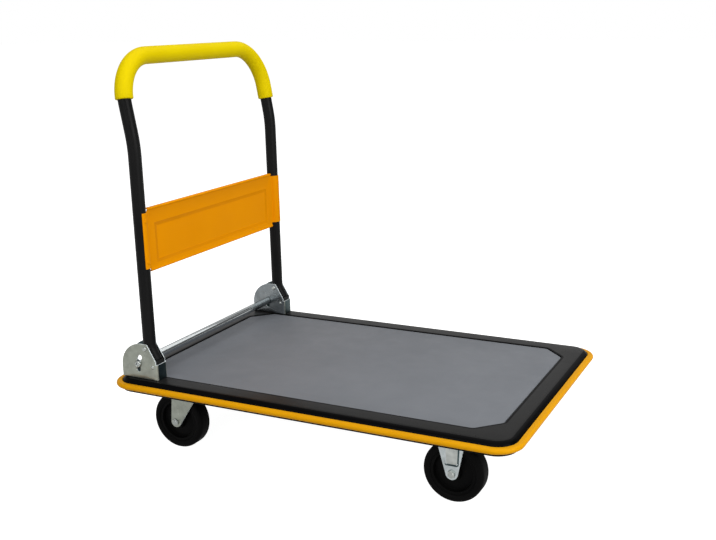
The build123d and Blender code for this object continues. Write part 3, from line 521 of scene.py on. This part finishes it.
def makeHandleTube():
    bm = bmesh.new()
    y, bend, topBend, steps = handle["half"], handle["footBend"], handle["topBend"], handle["bendSteps"]
    pivot = Vector((handle["pivotX"], y, handle["pivotZ"]))
    kink = pivot + footWay * ((handle["legX"] - handle["pivotX"]) / footWay.x)
    leanTangent = handle["leanBend"] * tan(leanTurn / 2)
    foot = pivot + footWay * handle["footEnd"]
    bendStart = kink + footWay * bend * tan(footTurn / 2)
    loop = ringAcross(bm, foot, -footWay, handle["radius"], handle["around"])
    hollow = lipOn(bm, loop, footWay, handle["footLip"])
    lipOn(bm, hollow, -footWay, [(handle["boreDepth"], 1.0)])  # the tube is seen to be hollow from below
    loop = runOn(bm, loop, bendStart - foot)
    loop = bendOn(bm, loop, bendStart + footFront * bend, (0, 1, 0), handle["footAngle"], steps)
    loop = runOn(bm, loop, Vector((0, 0, handle["leanZ"] - leanTangent - loopCentre(loop).z)))
    leanCentre = loopCentre(loop) - Vector((handle["leanBend"], 0, 0))
    loop = bendOn(bm, loop, leanCentre, (0, -1, 0), handle["leanAngle"], steps)
    loop = runOn(bm, loop, lean * (leanRun - leanTangent - topBend))
    loop = bendOn(bm, loop, loopCentre(loop) - Vector((0, topBend, 0)), overTop, 90, handle["topSteps"])
    runOn(bm, loop, Vector((0, topBend - y, 0)))
    mirrorLeft(bm)
    finishPiece(bm, "handleTube", "handle", "tubePaint", ["handle_tube"], crease=45)


grip = dict(radius=18, left=702, right=742, lip=2.2, leftSteps=22, rightSteps=20,
            lipRoll=[(0.55, 0.975), (0.3, 0.955), (0.15, 0.93), (0, 0.8)])  # (share of the lip, scale)


def makeGrip():
    bm = bmesh.new()
    bend, lip = handle["topBend"], grip["lip"]
    kink = Vector((handle["legX"], handle["half"], handle["leanZ"]))
    start = kink + lean * ((grip["left"] - handle["leanZ"]) / lean.z)
    bendStart = kink + lean * (leanRun - bend)
    rolled = [(lip * share, factor) for share, factor in grip["lipRoll"]]
    loop = ringAcross(bm, start + lean * lip, lean, grip["radius"], handle["around"])
    lipOn(bm, loop, -lean, rolled)
    loop = runOn(bm, loop, bendStart - start - lean * lip)
    loop = bendOn(bm, loop, bendStart - Vector((0, bend, 0)), overTop, 90, grip["leftSteps"])
    loop = runOn(bm, loop, Vector((0, -2 * (handle["half"] - bend), 0)))
    drop = acos((grip["right"] - bendStart.z) / (bend * lean.z))  # where the sleeve stops in the bend
    loop = bendOn(bm, loop, loopCentre(loop) - lean * bend, overTop, degrees(drop), grip["rightSteps"])
    way = (Matrix.Rotation(drop, 3, overTop) @ Vector((0, -1, 0))).normalized()
    lipOn(bm, loop, way, rolled)
    finishPiece(bm, "gripSleeve", "handle", "gripPlastic", ["handle_grip"])


panel = dict(front=-357.5, sheet=1.5, half=238, bottom=387.5, top=520, edge=0.35,
             bend=1.6, bendSteps=5, flange=6.5, hem=1.6, hemRise=3.2,
             fieldHalf=217, fieldLow=401.5, fieldHigh=487, fieldDepth=1.25, fieldSlope=8.0,
             ease=(0.3, 0.5), shadeDepth=0.5,  # ease is (back, in) at the edges of the pressed slope
             tabLow=398, tabHigh=513.5, tabGap=0.1, tabWrap=32, tabSteps=14, tabBend=1.5, tabBendSteps=3)


def makePanel():
    bm = bmesh.new()
    x = panel["front"] - panel["sheet"] / 2
    half, bend = panel["half"], panel["bend"]
    tabLow, tabHigh = panel["tabLow"], panel["tabHigh"]
    hem = Vector((panel["hem"], 0, panel["hemRise"]))
    low = panel["bottom"] + panel["sheet"] / 2 + bend + hem.z
    high = panel["top"] - panel["sheet"] / 2 - bend - hem.z
    rim = drawPath(bm, "YZ", x, (-half, low), [(half, low), (half, tabLow), (half, tabHigh), (half, high),
                   (-half, high), (-half, tabHigh), (-half, tabLow)], close=True)
    wide, fieldLow, fieldHigh = panel["fieldHalf"], panel["fieldLow"], panel["fieldHigh"]
    loop = drawPath(bm, "YZ", x, (-wide, fieldLow), [(wide, fieldLow), (wide, fieldHigh), (-wide, fieldHigh)],
                    close=True)
    bmesh.ops.triangle_fill(bm, edges=rim + loop, use_beauty=True)
    # pressed field: a slope between two eased edges, then a flat
    mid, tall = (fieldLow + fieldHigh) / 2, (fieldHigh - fieldLow) / 2
    back, reach = panel["ease"]
    slope = (panel["fieldDepth"] - 2 * back, panel["fieldSlope"] - 2 * reach)
    for back, reach in (panel["ease"], slope, panel["ease"]):
        loop = runOn(bm, loop, Vector((-back, 0, 0)))
        shrink = (1, 1 - reach / wide, 1 - reach / tall)
        bmesh.ops.scale(bm, vec=shrink, space=Matrix.Translation((0, 0, -mid)), verts=vertsOf(loop))
    bmesh.ops.contextual_create(bm, geom=loop)
    for face in bm.faces:  # painted shade: the slope of the pressed field takes a darker copy of the panel paint
        depths = [vert.co.x for vert in face.verts]
        face.material_index = int(max(depths) - min(depths) > panel["shadeDepth"])
    # the top and bottom edges swell forward a little and fold back into flanges
    for level, turn in ((high, 1), (low, -1)):
        edge = edgesWhere(rim, lambda co: abs(co.z - level) < nearly)
        edge = runOn(bm, edge, Vector((hem.x, 0, turn * hem.z)))
        hemFaces = {face for side in edge for face in side.link_faces}
        paintFaces(hemFaces, int(turn > 0))  # painted shade under the top fold
        before = set(bm.faces)
        foldCentre = (x + hem.x - bend, 0, level + turn * hem.z)
        fold = bendOn(bm, edge, foldCentre, (0, -1, 0), 90 * turn, panel["bendSteps"])
        runOn(bm, fold, Vector((-panel["flange"], 0, 0)))
        paintFaces(set(bm.faces) - before, 0)
    # tabs that wrap the fronts of the legs
    saddle = handle["radius"] + panel["tabGap"] + panel["sheet"] / 2
    inner = acos((x - handle["legX"]) / saddle)
    for side in sides.values():
        end = edgesWhere(rim, lambda co: abs(co.y - side * half) < nearly)
        edge = edgesWhere(end, lambda co: tabLow - nearly < co.z < tabHigh + nearly)
        foot = runOn(bm, edge, Vector((0, side * (handle["half"] - saddle * sin(inner) - half), 0)))
        wrap = degrees(inner) + panel["tabWrap"]
        bendOn(bm, foot, (handle["legX"], side * handle["half"], 0), (0, 0, side), wrap, panel["tabSteps"])
        roundOff(bm, foot, panel["tabBend"], panel["tabBendSteps"])
    finishPiece(bm, "handlePanel", "handle", "panelPaint", ["handle_panel"], crease=28,
                sheet=(panel["sheet"], 0), edge=panel["edge"], more=["panelShade"])


panelRivet = dict(z=(411, 497), head=4.2, rise=0.9, sink=1.2, around=28,
                  dome=[(0.3, 1), (0.7, 0.85), (0.93, 0.55), (1, 0)])  # shares of (rise, head)


def makeRivets():
    bm = bmesh.new()
    face = handle["legX"] + handle["radius"] + panel["tabGap"] + panel["sheet"]
    head, rise = panelRivet["head"], panelRivet["rise"]
    for side in sides.values():
        for z in panelRivet["z"]:
            y = side * handle["half"]
            dome = [(face + rise * out, z + head * wide) for out, wide in panelRivet["dome"]]
            line = drawPath(bm, "XZ", y, (face - panelRivet["sink"], z + head), dome)
            turnPath(bm, line, (face, y, z), (1, 0, 0), panelRivet["around"])
    finishPiece(bm, "panelRivets", "handle", "panelPaint", ["panel_rivets"], crease=60)


makeHandleTube()
makeGrip()
makePanel()
makeRivets()
print("stage: handle")


# Hinge brackets with their pins, rivets, bolts, release rod and springs

bracket = dict(gapHalf=13.8, sheet=2.2, edge=0.3, baseZ=162.1, baseBend=2, baseSteps=4, rear=-425,
               front=-334.5, top=238, arcX=-374, arcZ=187, arcSteps=20, noseRound=4, noseSlope=30,
               noseSteps=6, wallTop=195.5, bend=2.6, bendSteps=5,
               slotX=-383, slotLow=176.3, slotHalf=5.1, slotKnee=197, rearKnee=199, slotTip=(-377.5, 208.9),
               slotSteps=12, eye=(-404.5, 195.7), eyeRadius=6.8, eyeAround=28)


def turnAlongY(bm, x, y, z, line, around, close=False):
    # line: (distance along Y, radius)
    marks = [(y + along, z + radius) for along, radius in line]
    turnPath(bm, drawPath(bm, "YZ", x, marks[0], marks[1:], close), (x, y, z), (0, 1, 0), around)


def turnUp(bm, x, y, line, around):
    # line: (radius, height)
    marks = [(x + radius, z) for radius, z in line]
    turnPath(bm, drawPath(bm, "XZ", y, marks[0], marks[1:]), (x, y, 0), (0, 0, 1), around)


def bothEnds(line, middle=()):
    return [*line, *middle, *((-along, radius) for along, radius in reversed(line))]


def slotPath(bm, y, x, low, high, half):
    # low and high are the centres of the round ends
    steps = bracket["slotSteps"]
    drawPath(bm, "XZ", y, (x + half, low), [(x + half, high), ("arc", x, high, 180, steps),
             (x - half, low), ("arc", x, low, 180, steps)])


def bentSlotPath(bm, y, x, low, half):
    # the upper end of the outer slot leans forward
    knee, tip, steps = bracket["slotKnee"], Vector(bracket["slotTip"]), bracket["slotSteps"]
    across = (tip - Vector((x, knee))).normalized() * half
    right = tip + Vector((across.y, -across.x))
    drawPath(bm, "XZ", y, (x + half, low), [(x + half, knee), tuple(right), ("arc", *tip, 180, steps),
             (x - half, bracket["rearKnee"]), (x - half, low), ("arc", x, low, 180, steps)])


def bracketHalf(bm, way, outer, eyed):
    # one cheek with its half of the base and of the front wall
    y = way * (bracket["gapHalf"] + bracket["sheet"] / 2)
    bend, nose, front = bracket["bend"], bracket["noseRound"], bracket["front"]
    base, top, wallTop = bracket["baseZ"], bracket["top"], bracket["wallTop"]
    cheekX = front - bracket["sheet"] / 2 - bend
    slope = radians(bracket["noseSlope"])
    noseX = front - (top - wallTop) * tan(slope)
    ease = nose * tan(slope)
    before = set(bm.edges)
    drawPath(bm, "XZ", y, (cheekX, base), [
        (cheekX, wallTop), (cheekX, wallTop + (front - cheekX) / tan(slope)),
        (noseX + ease * sin(slope), top - ease * cos(slope)),
        ("arc", noseX - ease, top - nose, 90 - bracket["noseSlope"], bracket["noseSteps"]),
        (bracket["arcX"], top), ("arc", bracket["arcX"], bracket["arcZ"], 90, bracket["arcSteps"]),
        (bracket["rear"], base)], close=True)
    half = bracket["slotHalf"]
    low = bracket["slotLow"] + half
    if outer:
        bentSlotPath(bm, y, bracket["slotX"], low, half)
    else:
        slotPath(bm, y, bracket["slotX"], low, rod["z"], half)
    if eyed:  # light comes through it to the outer slot
        eyeX, eyeZ = bracket["eye"]
        ringAcross(bm, Vector((eyeX, y, eyeZ)), Vector((0, 1, 0)), bracket["eyeRadius"], bracket["eyeAround"])
    bmesh.ops.remove_doubles(bm, verts=vertsOf(newEdges(bm, before)), dist=nearly)
    outline = newEdges(bm, before)
    bmesh.ops.triangle_fill(bm, edges=outline, use_beauty=True)
    fold = edgesWhere(outline, lambda co: abs(co.x - cheekX) < nearly and co.z < wallTop + nearly)
    foot = edgesWhere(outline, lambda co: abs(co.z - base) < nearly)
    wall = bendOn(bm, fold, (cheekX, y - way * bend, 0), (0, 0, -way), 90, bracket["bendSteps"])
    runOn(bm, wall, Vector((0, way * bend - y, 0)))
    runOn(bm, foot, Vector((0, -y, 0)))
    roundOff(bm, foot, bracket["baseBend"], bracket["baseSteps"])


def makeBracket(tag, side):
    bm = bmesh.new()
    bracketHalf(bm, side, True, False)
    bracketHalf(bm, -side, False, tag == "right")
    wallX = bracket["front"] - bracket["sheet"] / 2
    # in the list of finishes a face's own is followed by its cut edge's and its inner side's
    for face in bm.faces:  # painted shade: the front wall and the inner cheek take darker copies of the zinc than the outer cheek
        if all(vert.co.x > wallX - nearly for vert in face.verts):
            face.material_index = 2
        elif all(vert.co.y * side < -bracket["gapHalf"] for vert in face.verts):
            face.material_index = 4
    bmesh.ops.translate(bm, vec=(0, side * handle["half"], 0), verts=bm.verts)
    # painted shade: the inner side of the sheet takes darker zinc as well
    finishPiece(bm, "hingeBracket_" + tag, "platform", "zincSheet", ["hinge_bracket_" + tag], crease=28,
                sheet=(bracket["sheet"], 0), edge=bracket["edge"], rimFinish="zincEdgeHighlight",
                more=["zincShade", "zincEdgeHighlight", "zincInnerShade", "zincEdgeHighlight", "zincShade"], inward=2)


# heads are (rise above the sheet, radius), from the middle out
hingePin = dict(x=handle["pivotX"], z=handle["pivotZ"], around=32,
                head=[(2.4, 0), (2.4, 3.4), (2.0, 4.4), (1.2, 5.0), (0, 5.2), (0, 4.0)])
bufferRivet = dict(x=-346.5, z=190, around=24, head=[(1.2, 0), (1.1, 2.0), (0.7, 3.2), (0, 3.8), (0, 2.5)])
bracketBolt = dict(x=(-409.5, -365.5), shank=4, foot=147, chamfer=0.6, around=28,
                   head=[(4.2, 0), (4.0, 2.4), (3.1, 4.6), (1.7, 6.0), (0.4, 6.5), (0, 6.5), (0, 4)])


def addCrossPin(bm, side, pin):
    # a pin through both cheeks of a bracket, with a head at each end
    outer = bracket["gapHalf"] + bracket["sheet"]
    head = [(-outer - rise, radius) for rise, radius in pin["head"]]
    turnAlongY(bm, pin["x"], side * handle["half"], pin["z"], bothEnds(head), pin["around"])


def makeBracketPins():
    for tag, side in sides.items():
        bm = bmesh.new()
        addCrossPin(bm, side, hingePin)
        finishPiece(bm, "hingePin_" + tag, "platform", "pinZinc", ["hinge_pin_" + tag])
    bm = bmesh.new()
    for side in sides.values():
        addCrossPin(bm, side, bufferRivet)
    finishPiece(bm, "bufferRivets", "platform", "pinZinc", ["buffer_rivets"])
    bm = bmesh.new()
    top = bracket["baseZ"] + bracket["sheet"] / 2
    shank, foot, chamfer = bracketBolt["shank"], bracketBolt["foot"], bracketBolt["chamfer"]
    line = [(radius, top + rise) for rise, radius in bracketBolt["head"]]
    line += [(shank, foot + chamfer), (shank - chamfer, foot), (0, foot)]
    for side in sides.values():
        for x in bracketBolt["x"]:
            turnUp(bm, x, side * handle["half"], line, bracketBolt["around"])
    finishPiece(bm, "bracketBolts", "platform", "zincBright", ["bracket_bolts"])


rod = dict(x=bracket["slotX"], z=193.4, radius=5, half=273.8, chamfer=0.8, bar=9, barHalf=238.5, barEase=1,
           barRoll=0.3, around=48, capStart=271.8, capEnd=276, capRadius=7.5, capEase=0.3, capAround=36,
           capRing=[(2.6, 7.5), (1.2, 7), (0.3, 6), (0, 4.9), (0, 4.2), (0.5, 3.6), (2.6, 3.4), (2.7, 0)])


def makeRod():
    bm = bmesh.new()
    half, thin, chamfer = rod["half"], rod["radius"], rod["chamfer"]
    bar, barHalf, ease, roll = rod["bar"], rod["barHalf"], rod["barEase"], rod["barRoll"]
    end = [(-half, 0), (-half, thin - chamfer), (-half + chamfer, thin), (-barHalf, thin)]
    end += [(-barHalf, bar - ease), (-barHalf + roll, bar - roll), (-barHalf + ease, bar)]
    turnAlongY(bm, rod["x"], 0, rod["z"], bothEnds(end), rod["around"])
    finishPiece(bm, "releaseRod", "release_rod", "rodZinc", ["release_rod"])
    start, radius, ease = rod["capStart"], rod["capRadius"], rod["capEase"]
    line = [(start, thin), (start, radius - ease), (start + ease, radius)]
    line += [(rod["capEnd"] - back, ring) for back, ring in rod["capRing"]]
    for tag, side in sides.items():
        bm = bmesh.new()
        cap = [(side * along, ring) for along, ring in line]
        turnAlongY(bm, rod["x"], 0, rod["z"], cap, rod["capAround"])
        finishPiece(bm, "rodCap_" + tag, "release_rod", "pinZinc", ["rod_cap_" + tag], crease=40)


spring = dict(radius=4.3, wire=0.6, wireAround=10, low=163.65, high=186.55, turns=6, turnSteps=32, travel=12)


def makeSprings():
    wire, low, length = spring["wire"], spring["low"], spring["high"] - spring["low"]
    count = spring["turns"] * spring["turnSteps"]
    for tag, side in sides.items():
        bm = bmesh.new()
        y = side * handle["half"]
        start = Vector((rod["x"] + spring["radius"], y, low + wire))
        ring = ringAcross(bm, start, Vector((0, 1, 0)), wire, spring["wireAround"])
        bmesh.ops.contextual_create(bm, geom=ring)
        spun = bmesh.ops.spin(bm, geom=ring, cent=(rod["x"], y, 0), axis=(0, 0, 1), steps=count,
                              angle=2 * pi * spring["turns"], dvec=(0, 0, (length - 2 * wire) / count))
        bmesh.ops.contextual_create(bm, geom=onlyEdges(spun["geom_last"]))
        coil = finishPiece(bm, "returnSpring_" + tag, "platform", "springSteel", ["return_spring_" + tag],
                           crease=60)
        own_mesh(coil)


for tag, side in sides.items():
    makeBracket(tag, side)
makeBracketPins()
makeRod()
makeSprings()
print("stage: brackets, rod and springs")


# Castors: forks, plates, axles and wheels

castor = dict(track=216.7, axleZ=61, legHalf=21.5, sheet=3, edge=0.5, bend=4.5, bendSteps=6,
              boss=12, bossSteps=16,
              press=((0.15, 0.25), (0.7, 0.5), (0.15, 0.25)))  # steps of a pressing, shares of (rise, slope)
rigidFork = dict(axleX=306.8, crownX=306.8, legRear=271.8, legFront=336.5, crownTop=148.7)
swivelFork = dict(axleX=-321.5, crownX=-290, legRear=-327.5, legFront=-264, crownTop=131.5)
legPanel = dict(x=305.7, low=(14.8, 77), high=(18.5, 140), corner=3, cornerSteps=5, rise=3, slope=5.5,
                lean=2.5, shadeTilt=-0.3, shadeFront=13.8)  # low and high are (half width, height)
legDimple = dict(x=-313.6, low=82.3, high=89.7, half=4.3, depth=1.1, slope=2)


def legPath(bm, fork):
    # round boss, then the front edge, crown edge and rear edge of a leg
    boss, axleX, axleZ = castor["boss"], fork["axleX"], castor["axleZ"]
    top = fork["crownTop"] - castor["sheet"] / 2 - castor["bend"]
    ends = []
    for way, x in ((-1, fork["legRear"]), (1, fork["legFront"])):
        corner = Vector((x - axleX, top - axleZ))
        ends.append(atan2(corner.y, corner.x) - way * acos(boss / corner.length))
    start = (axleX + boss * cos(ends[0]), axleZ + boss * sin(ends[0]))
    sweep = degrees(ends[1] - ends[0]) % 360
    drawPath(bm, "XZ", castor["legHalf"], start, [("arc", axleX, axleZ, sweep, castor["bossSteps"]),
             (fork["legFront"], top), (fork["legRear"], top)], close=True)
    return top


def foldFork(bm, top, side):
    # the crown folds over from the top edge of the leg, and the other leg is its mirror image
    y, bend = castor["legHalf"], castor["bend"]
    edge = edgesWhere(bm.edges, lambda co: abs(co.z - top) < nearly)
    crown = bendOn(bm, edge, (0, y - bend, top), (1, 0, 0), 90, castor["bendSteps"])
    runOn(bm, crown, Vector((0, bend - y, 0)))
    mirrorLeft(bm)
    bmesh.ops.translate(bm, vec=(0, side * castor["track"], 0), verts=bm.verts)


def pressField(bm, loop, rise, slope, lean=0):
    # presses a closed loop in the leg out (or in) with rounded steps; lean moves its flat forward
    for part, reach in castor["press"]:
        loop = runOn(bm, loop, Vector((0, rise * part, 0)))
        verts = vertsOf(loop)
        xs, zs = [vert.co.x for vert in verts], [vert.co.z for vert in verts]
        wide, tall = max(xs) - min(xs), max(zs) - min(zs)
        mid = Vector(((max(xs) + min(xs)) / 2, 0, (max(zs) + min(zs)) / 2))
        shrink = (1 - 2 * slope * reach / wide, 1, 1 - 2 * slope * reach / tall)
        bmesh.ops.scale(bm, vec=shrink, space=Matrix.Translation(-mid), verts=verts)
        bmesh.ops.translate(bm, vec=(lean * reach, 0, 0), verts=verts)
    return loop


def makeRigidFork(tag, side):
    bm = bmesh.new()
    top = legPath(bm, rigidFork)
    x, low, high = legPanel["x"], legPanel["low"], legPanel["high"]
    before = set(bm.edges)
    drawPath(bm, "XZ", castor["legHalf"], (x - low[0], low[1]),
             [(x + low[0], low[1]), (x + high[0], high[1]), (x - high[0], high[1])], close=True)
    corners = vertsOf(newEdges(bm, before))
    roundOff(bm, corners, legPanel["corner"], legPanel["cornerSteps"], "VERTICES")
    field = newEdges(bm, before)
    bmesh.ops.triangle_fill(bm, edges=bm.edges[:], use_beauty=True)
    before = set(bm.faces)
    raised = pressField(bm, field, legPanel["rise"], legPanel["slope"], legPanel["lean"])
    for face in set(bm.faces) - before:  # painted shade: steps that face down or forward take the darkest zinc
        if face.normal.z < legPanel["shadeTilt"] or face.calc_center_median().x > x + legPanel["shadeFront"]:
            face.material_index = 3
    # painted shade: the flat of the raised field takes the darker pin zinc
    paintFaces(bmesh.ops.contextual_create(bm, geom=raised)["faces"], 2)
    foldFork(bm, top, side)
    finishPiece(bm, "rigidFork_" + tag, "platform", "forkZinc", ["rigid_fork_" + tag], crease=28,
                sheet=(castor["sheet"], 0), edge=castor["edge"], rimFinish="zincEdgeHighlight",
                more=["pinZinc", "zincShade"])
    makePlate("rigidPlate_" + tag, rigidFork["crownX"], side, "rigid_fork_" + tag, False)


# ball races: rim is (in, away from the flat); foot and root are (in, up) from crown and plate
race = dict(radius=30, bore=8, ball=141, gapHalf=0.5, around=48, rim=[(1.2, 0), (0.4, 0.4), (0, 1.2)],
            foot=[(1, -0.2), (0, 0.8)], root=[(0, -1.5), (-1.5, 0.2)])


def makeSwivelFork(tag, side):
    bm = bmesh.new()
    top = legPath(bm, swivelFork)
    before = set(bm.edges)
    slotPath(bm, castor["legHalf"], legDimple["x"], legDimple["low"], legDimple["high"], legDimple["half"])
    bmesh.ops.remove_doubles(bm, verts=bm.verts, dist=nearly)
    field = newEdges(bm, before)
    bmesh.ops.triangle_fill(bm, edges=bm.edges[:], use_beauty=True)
    bmesh.ops.contextual_create(bm, geom=pressField(bm, field, -legDimple["depth"], legDimple["slope"]))
    foldFork(bm, top, side)
    finishPiece(bm, "swivelFork_" + tag, "swivel_" + tag, "zincSheet", ["swivel_fork_" + tag], crease=28,
                sheet=(castor["sheet"], 0), edge=castor["edge"], rimFinish="zincEdgeHighlight")
    bm = bmesh.new()
    low, high, bore = swivelFork["crownTop"], race["ball"] - race["gapHalf"], race["bore"]
    foot = [(race["radius"] - inset, low + up) for inset, up in race["foot"]]
    rim = [(race["radius"] - inset, high - up) for inset, up in reversed(race["rim"])]
    line = [(bore, foot[0][1])] + foot + rim + [(bore, high), (bore, foot[0][1])]
    turnUp(bm, swivelFork["crownX"], side * castor["track"], line, race["around"])
    finishPiece(bm, "lowerRace_" + tag, "swivel_" + tag, "zincSheet", ["swivel_fork_" + tag], crease=40)
    makePlate("swivelPlate_" + tag, swivelFork["crownX"], side, "swivel_plate_" + tag, True)


plate = dict(halfX=52.5, halfY=40, corner=8, low=rigidFork["crownTop"], high=151.7, ease=0.5, cornerSteps=8)


def makePlate(name, x, side, node, raced):
    bm = bmesh.new()
    low, high, ease, y = plate["low"], plate["high"], plate["ease"], side * castor["track"]
    loops = []
    for inset, z in ((ease, low), (0, low + ease), (0, high - ease), (ease, high)):
        corners = boxCorners(plate["halfX"] - inset, plate["halfY"] - inset)
        loops.append(roundedLoop(bm, corners, plate["corner"] - inset, z, plate["cornerSteps"]))
    fillLoops(bm, loops)
    bmesh.ops.translate(bm, vec=(x, y, 0), verts=bm.verts)
    if raced:
        foot = race["ball"] + race["gapHalf"]
        rim = [(race["radius"] - inset, foot + up) for inset, up in race["rim"]]
        root = [(race["radius"] - inset, low + up) for inset, up in race["root"]]
        turnUp(bm, x, y, [(race["bore"], foot)] + rim + root, race["around"])
    finishPiece(bm, name, "platform", "zincSheet", [node], crease=40)


axle = dict(radius=5, flats=14, headRise=4.5, nutRise=4, tail=0.8, chamfer=1, around=28,
            hexEase=[(0.7, 0.955), (0.4, 0.88)])  # outer steps of a head or nut, (rise, scale)


def hexOn(bm, x, y, z, out, rise):
    # six-sided head or nut that stands out from y, chamfered on its outer face
    ring = ringAcross(bm, Vector((x, y, z)), Vector((0, out, 0)), axle["flats"] / sqrt(3), 6)
    bmesh.ops.contextual_create(bm, geom=ring)
    straight = rise - sum(step for step, factor in axle["hexEase"])
    last = lipOn(bm, ring, Vector((0, out, 0)), [(straight, 1.0)] + axle["hexEase"])
    bmesh.ops.contextual_create(bm, geom=last)


def makeAxle(end, tag, side, x, body):
    outer = castor["legHalf"] + castor["sheet"] / 2
    y, z, radius, chamfer = side * castor["track"], castor["axleZ"], axle["radius"], axle["chamfer"]
    bm = bmesh.new()
    hexOn(bm, x, y - side * outer, z, -side, axle["headRise"])
    tip = outer + axle["nutRise"] + axle["tail"]
    line = [(-outer, 0), (-outer, radius), (tip - chamfer, radius), (tip, radius - chamfer), (tip, 0)]
    turnAlongY(bm, x, y, z, [(side * along, across) for along, across in line], axle["around"])
    finishPiece(bm, f"axle_{end}_{tag}", body, "pinZinc", [f"{end}_axle_{tag}"], crease=30)
    bm = bmesh.new()
    hexOn(bm, x, y + side * outer, z, side, axle["nutRise"])
    node = "front_axle_nuts" if end == "front" else "rear_axle_nut_" + tag
    finishPiece(bm, f"axleNut_{end}_{tag}", body, "pinZinc", [node], crease=30)


wheel = dict(radius=castor["axleZ"], half=18, rim=46, shoulder=8, shoulderSteps=9, tyreAround=96,
             hubAround=72, hubEdge=0.8,
             bead=[(2.5, 0), (0.6, 1.6), (0, 3)],  # (in from the side, out from the rim)
             hub=[(-15.5, 46), (-15.5, 40), (-7, 38), (-9, 17), (-19.6, 15), (-19.6, 8)])  # (along, radius)


def makeWheel(end, tag, side, x):
    y, z, body = side * castor["track"], castor["axleZ"], f"wheel_{end}_{tag}"
    half, radius, shoulder = wheel["half"], wheel["radius"], wheel["shoulder"]
    bm = bmesh.new()
    flank = [(inset - half, wheel["rim"] + out) for inset, out in wheel["bead"]]
    flank += arcMarks(shoulder - half, radius - shoulder, shoulder, 180, 90, wheel["shoulderSteps"])
    turnAlongY(bm, x, y, z, bothEnds(flank, [(0, radius)]), wheel["tyreAround"], close=True)
    finishPiece(bm, f"tyre_{end}_{tag}Skin", body, "tyreRubber", [f"tyre_{end}_{tag}"], crease=40)
    bm = bmesh.new()
    turnAlongY(bm, x, y, z, bothEnds(wheel["hub"]), wheel["hubAround"], close=True)
    finishPiece(bm, f"hub_{end}_{tag}", body, "hubPlastic", [f"wheel_hub_{end}_{tag}"], crease=30,
                edge=wheel["hubEdge"])


for tag, side in sides.items():
    makeRigidFork(tag, side)
    makeSwivelFork(tag, side)
    makeAxle("front", tag, side, rigidFork["axleX"], "platform")
    makeAxle("rear", tag, side, swivelFork["axleX"], "swivel_" + tag)
    makeWheel("front", tag, side, rigidFork["axleX"])
    makeWheel("rear", tag, side, swivelFork["axleX"])
print("stage: castors")


# Camera and light

view = dict(lens=49.72, sensor=36, place=(0.9284, -1.8156, 0.8910), azimuth=25.49, elevation=14.15,
            roll=-1.03, shift=(-0.0374, -0.0071))


def makeCamera():
    turn, tilt, roll = (radians(view[key]) for key in ("azimuth", "elevation", "roll"))
    back = Vector((sin(turn) * cos(tilt), -cos(turn) * cos(tilt), sin(tilt)))
    right = Vector((cos(turn), sin(turn), 0))
    up = back.cross(right)
    level = (right * cos(roll) + up * sin(roll), up * cos(roll) - right * sin(roll), back)
    data = bpy.data.cameras.new("photoCamera")
    data.lens, data.sensor_width, data.sensor_fit = view["lens"], view["sensor"], "HORIZONTAL"
    data.shift_x, data.shift_y = view["shift"]
    camera = addObject("photoCamera", data)
    camera.matrix_world = Matrix.Translation(view["place"]) @ Matrix(level).transposed().to_4x4()
    scene.camera = camera


studio = dict(floorSize=60, floorTone=0.5, floorRough=0.9, floorGlow=0.96, floorGleam=0.55,
              backTone=1.0, skyTone=0.16, skyGleam=0.55, wallEdge=(0.2, 0.38), lampAim=(0, 0, 0.25),
              lamps=[("topLamp", (1.0, 0.4, 4.2), (8.0, 6.0), 200),
                     ("keyLamp", (0.2, -8.0, 4.9), (10.0, 6.0), 440),
                     ("frontLamp", (3.8, -1.0, 1.6), (2.6, 2.4), 90)])


def makeFloor():
    bm = bmesh.new()
    bmesh.ops.create_grid(bm, x_segments=1, y_segments=1, size=studio["floorSize"] / 2)
    mesh = bpy.data.meshes.new("studioFloor")
    bm.to_mesh(mesh)
    bm.free()
    floor = addObject("studioFloor", mesh)
    paper = bpy.data.materials.new("floorPaper")
    paper.use_nodes = True
    tree = paper.node_tree
    shader = tree.nodes["Principled BSDF"].inputs
    shader["Base Color"].default_value = (*(studio["floorTone"],) * 3, 1)
    shader["Roughness"].default_value = studio["floorRough"]
    shader["Specular IOR Level"].default_value = 0.0
    shader["Emission Color"].default_value = (1, 1, 1, 1)
    # the paper is overexposed for the camera, and a little for reflections
    ray = addNode(tree, "LightPath", {})
    seen = addMath(tree, "MULTIPLY_ADD", ray["Is Glossy Ray"], studio["floorGleam"], ray["Is Camera Ray"])
    feed(tree, shader["Emission Strength"], addMath(tree, "MULTIPLY", seen, studio["floorGlow"]))
    mesh.materials.append(paper)


def makeSky():
    world = bpy.data.worlds.new("studioWorld")
    world.use_nodes = True
    tree = world.node_tree
    sky = tree.nodes["Background"].inputs
    sky["Color"].default_value = (1, 1, 1, 1)
    ray = addNode(tree, "LightPath", {})
    ways = addNode(tree, "SeparateXYZ", {"Vector": addNode(tree, "TexCoord", {})["Generated"]})
    low, high = studio["wallEdge"]  # reflections see a pale wall behind the handle
    wall = addNode(tree, "MapRange", {"Value": ways["X"], "From Min": low, "From Max": high,
                                      "To Min": studio["skyGleam"], "To Max": 0.0})
    seen = addMath(tree, "MULTIPLY_ADD", ray["Is Glossy Ray"], wall["Result"], ray["Is Camera Ray"])
    # white for the camera, a dim room for everything else
    tone = addNode(tree, "MapRange", {"Value": seen, "To Min": studio["skyTone"],
                                      "To Max": studio["backTone"]})
    feed(tree, sky["Strength"], tone["Result"])
    scene.world = world


def makeLamps():
    for name, place, size, power in studio["lamps"]:
        data = bpy.data.lights.new(name, "AREA")
        data.shape, data.size, data.size_y, data.energy = "RECTANGLE", size[0], size[1], power
        lamp = addObject(name, data)
        lamp.location = place
        lamp.rotation_euler = (Vector(studio["lampAim"]) - Vector(place)).to_track_quat("-Z", "Y").to_euler()


makeCamera()
makeFloor()
makeSky()
makeLamps()
scene.view_settings.view_transform = "Standard"
print("stage: camera and light")
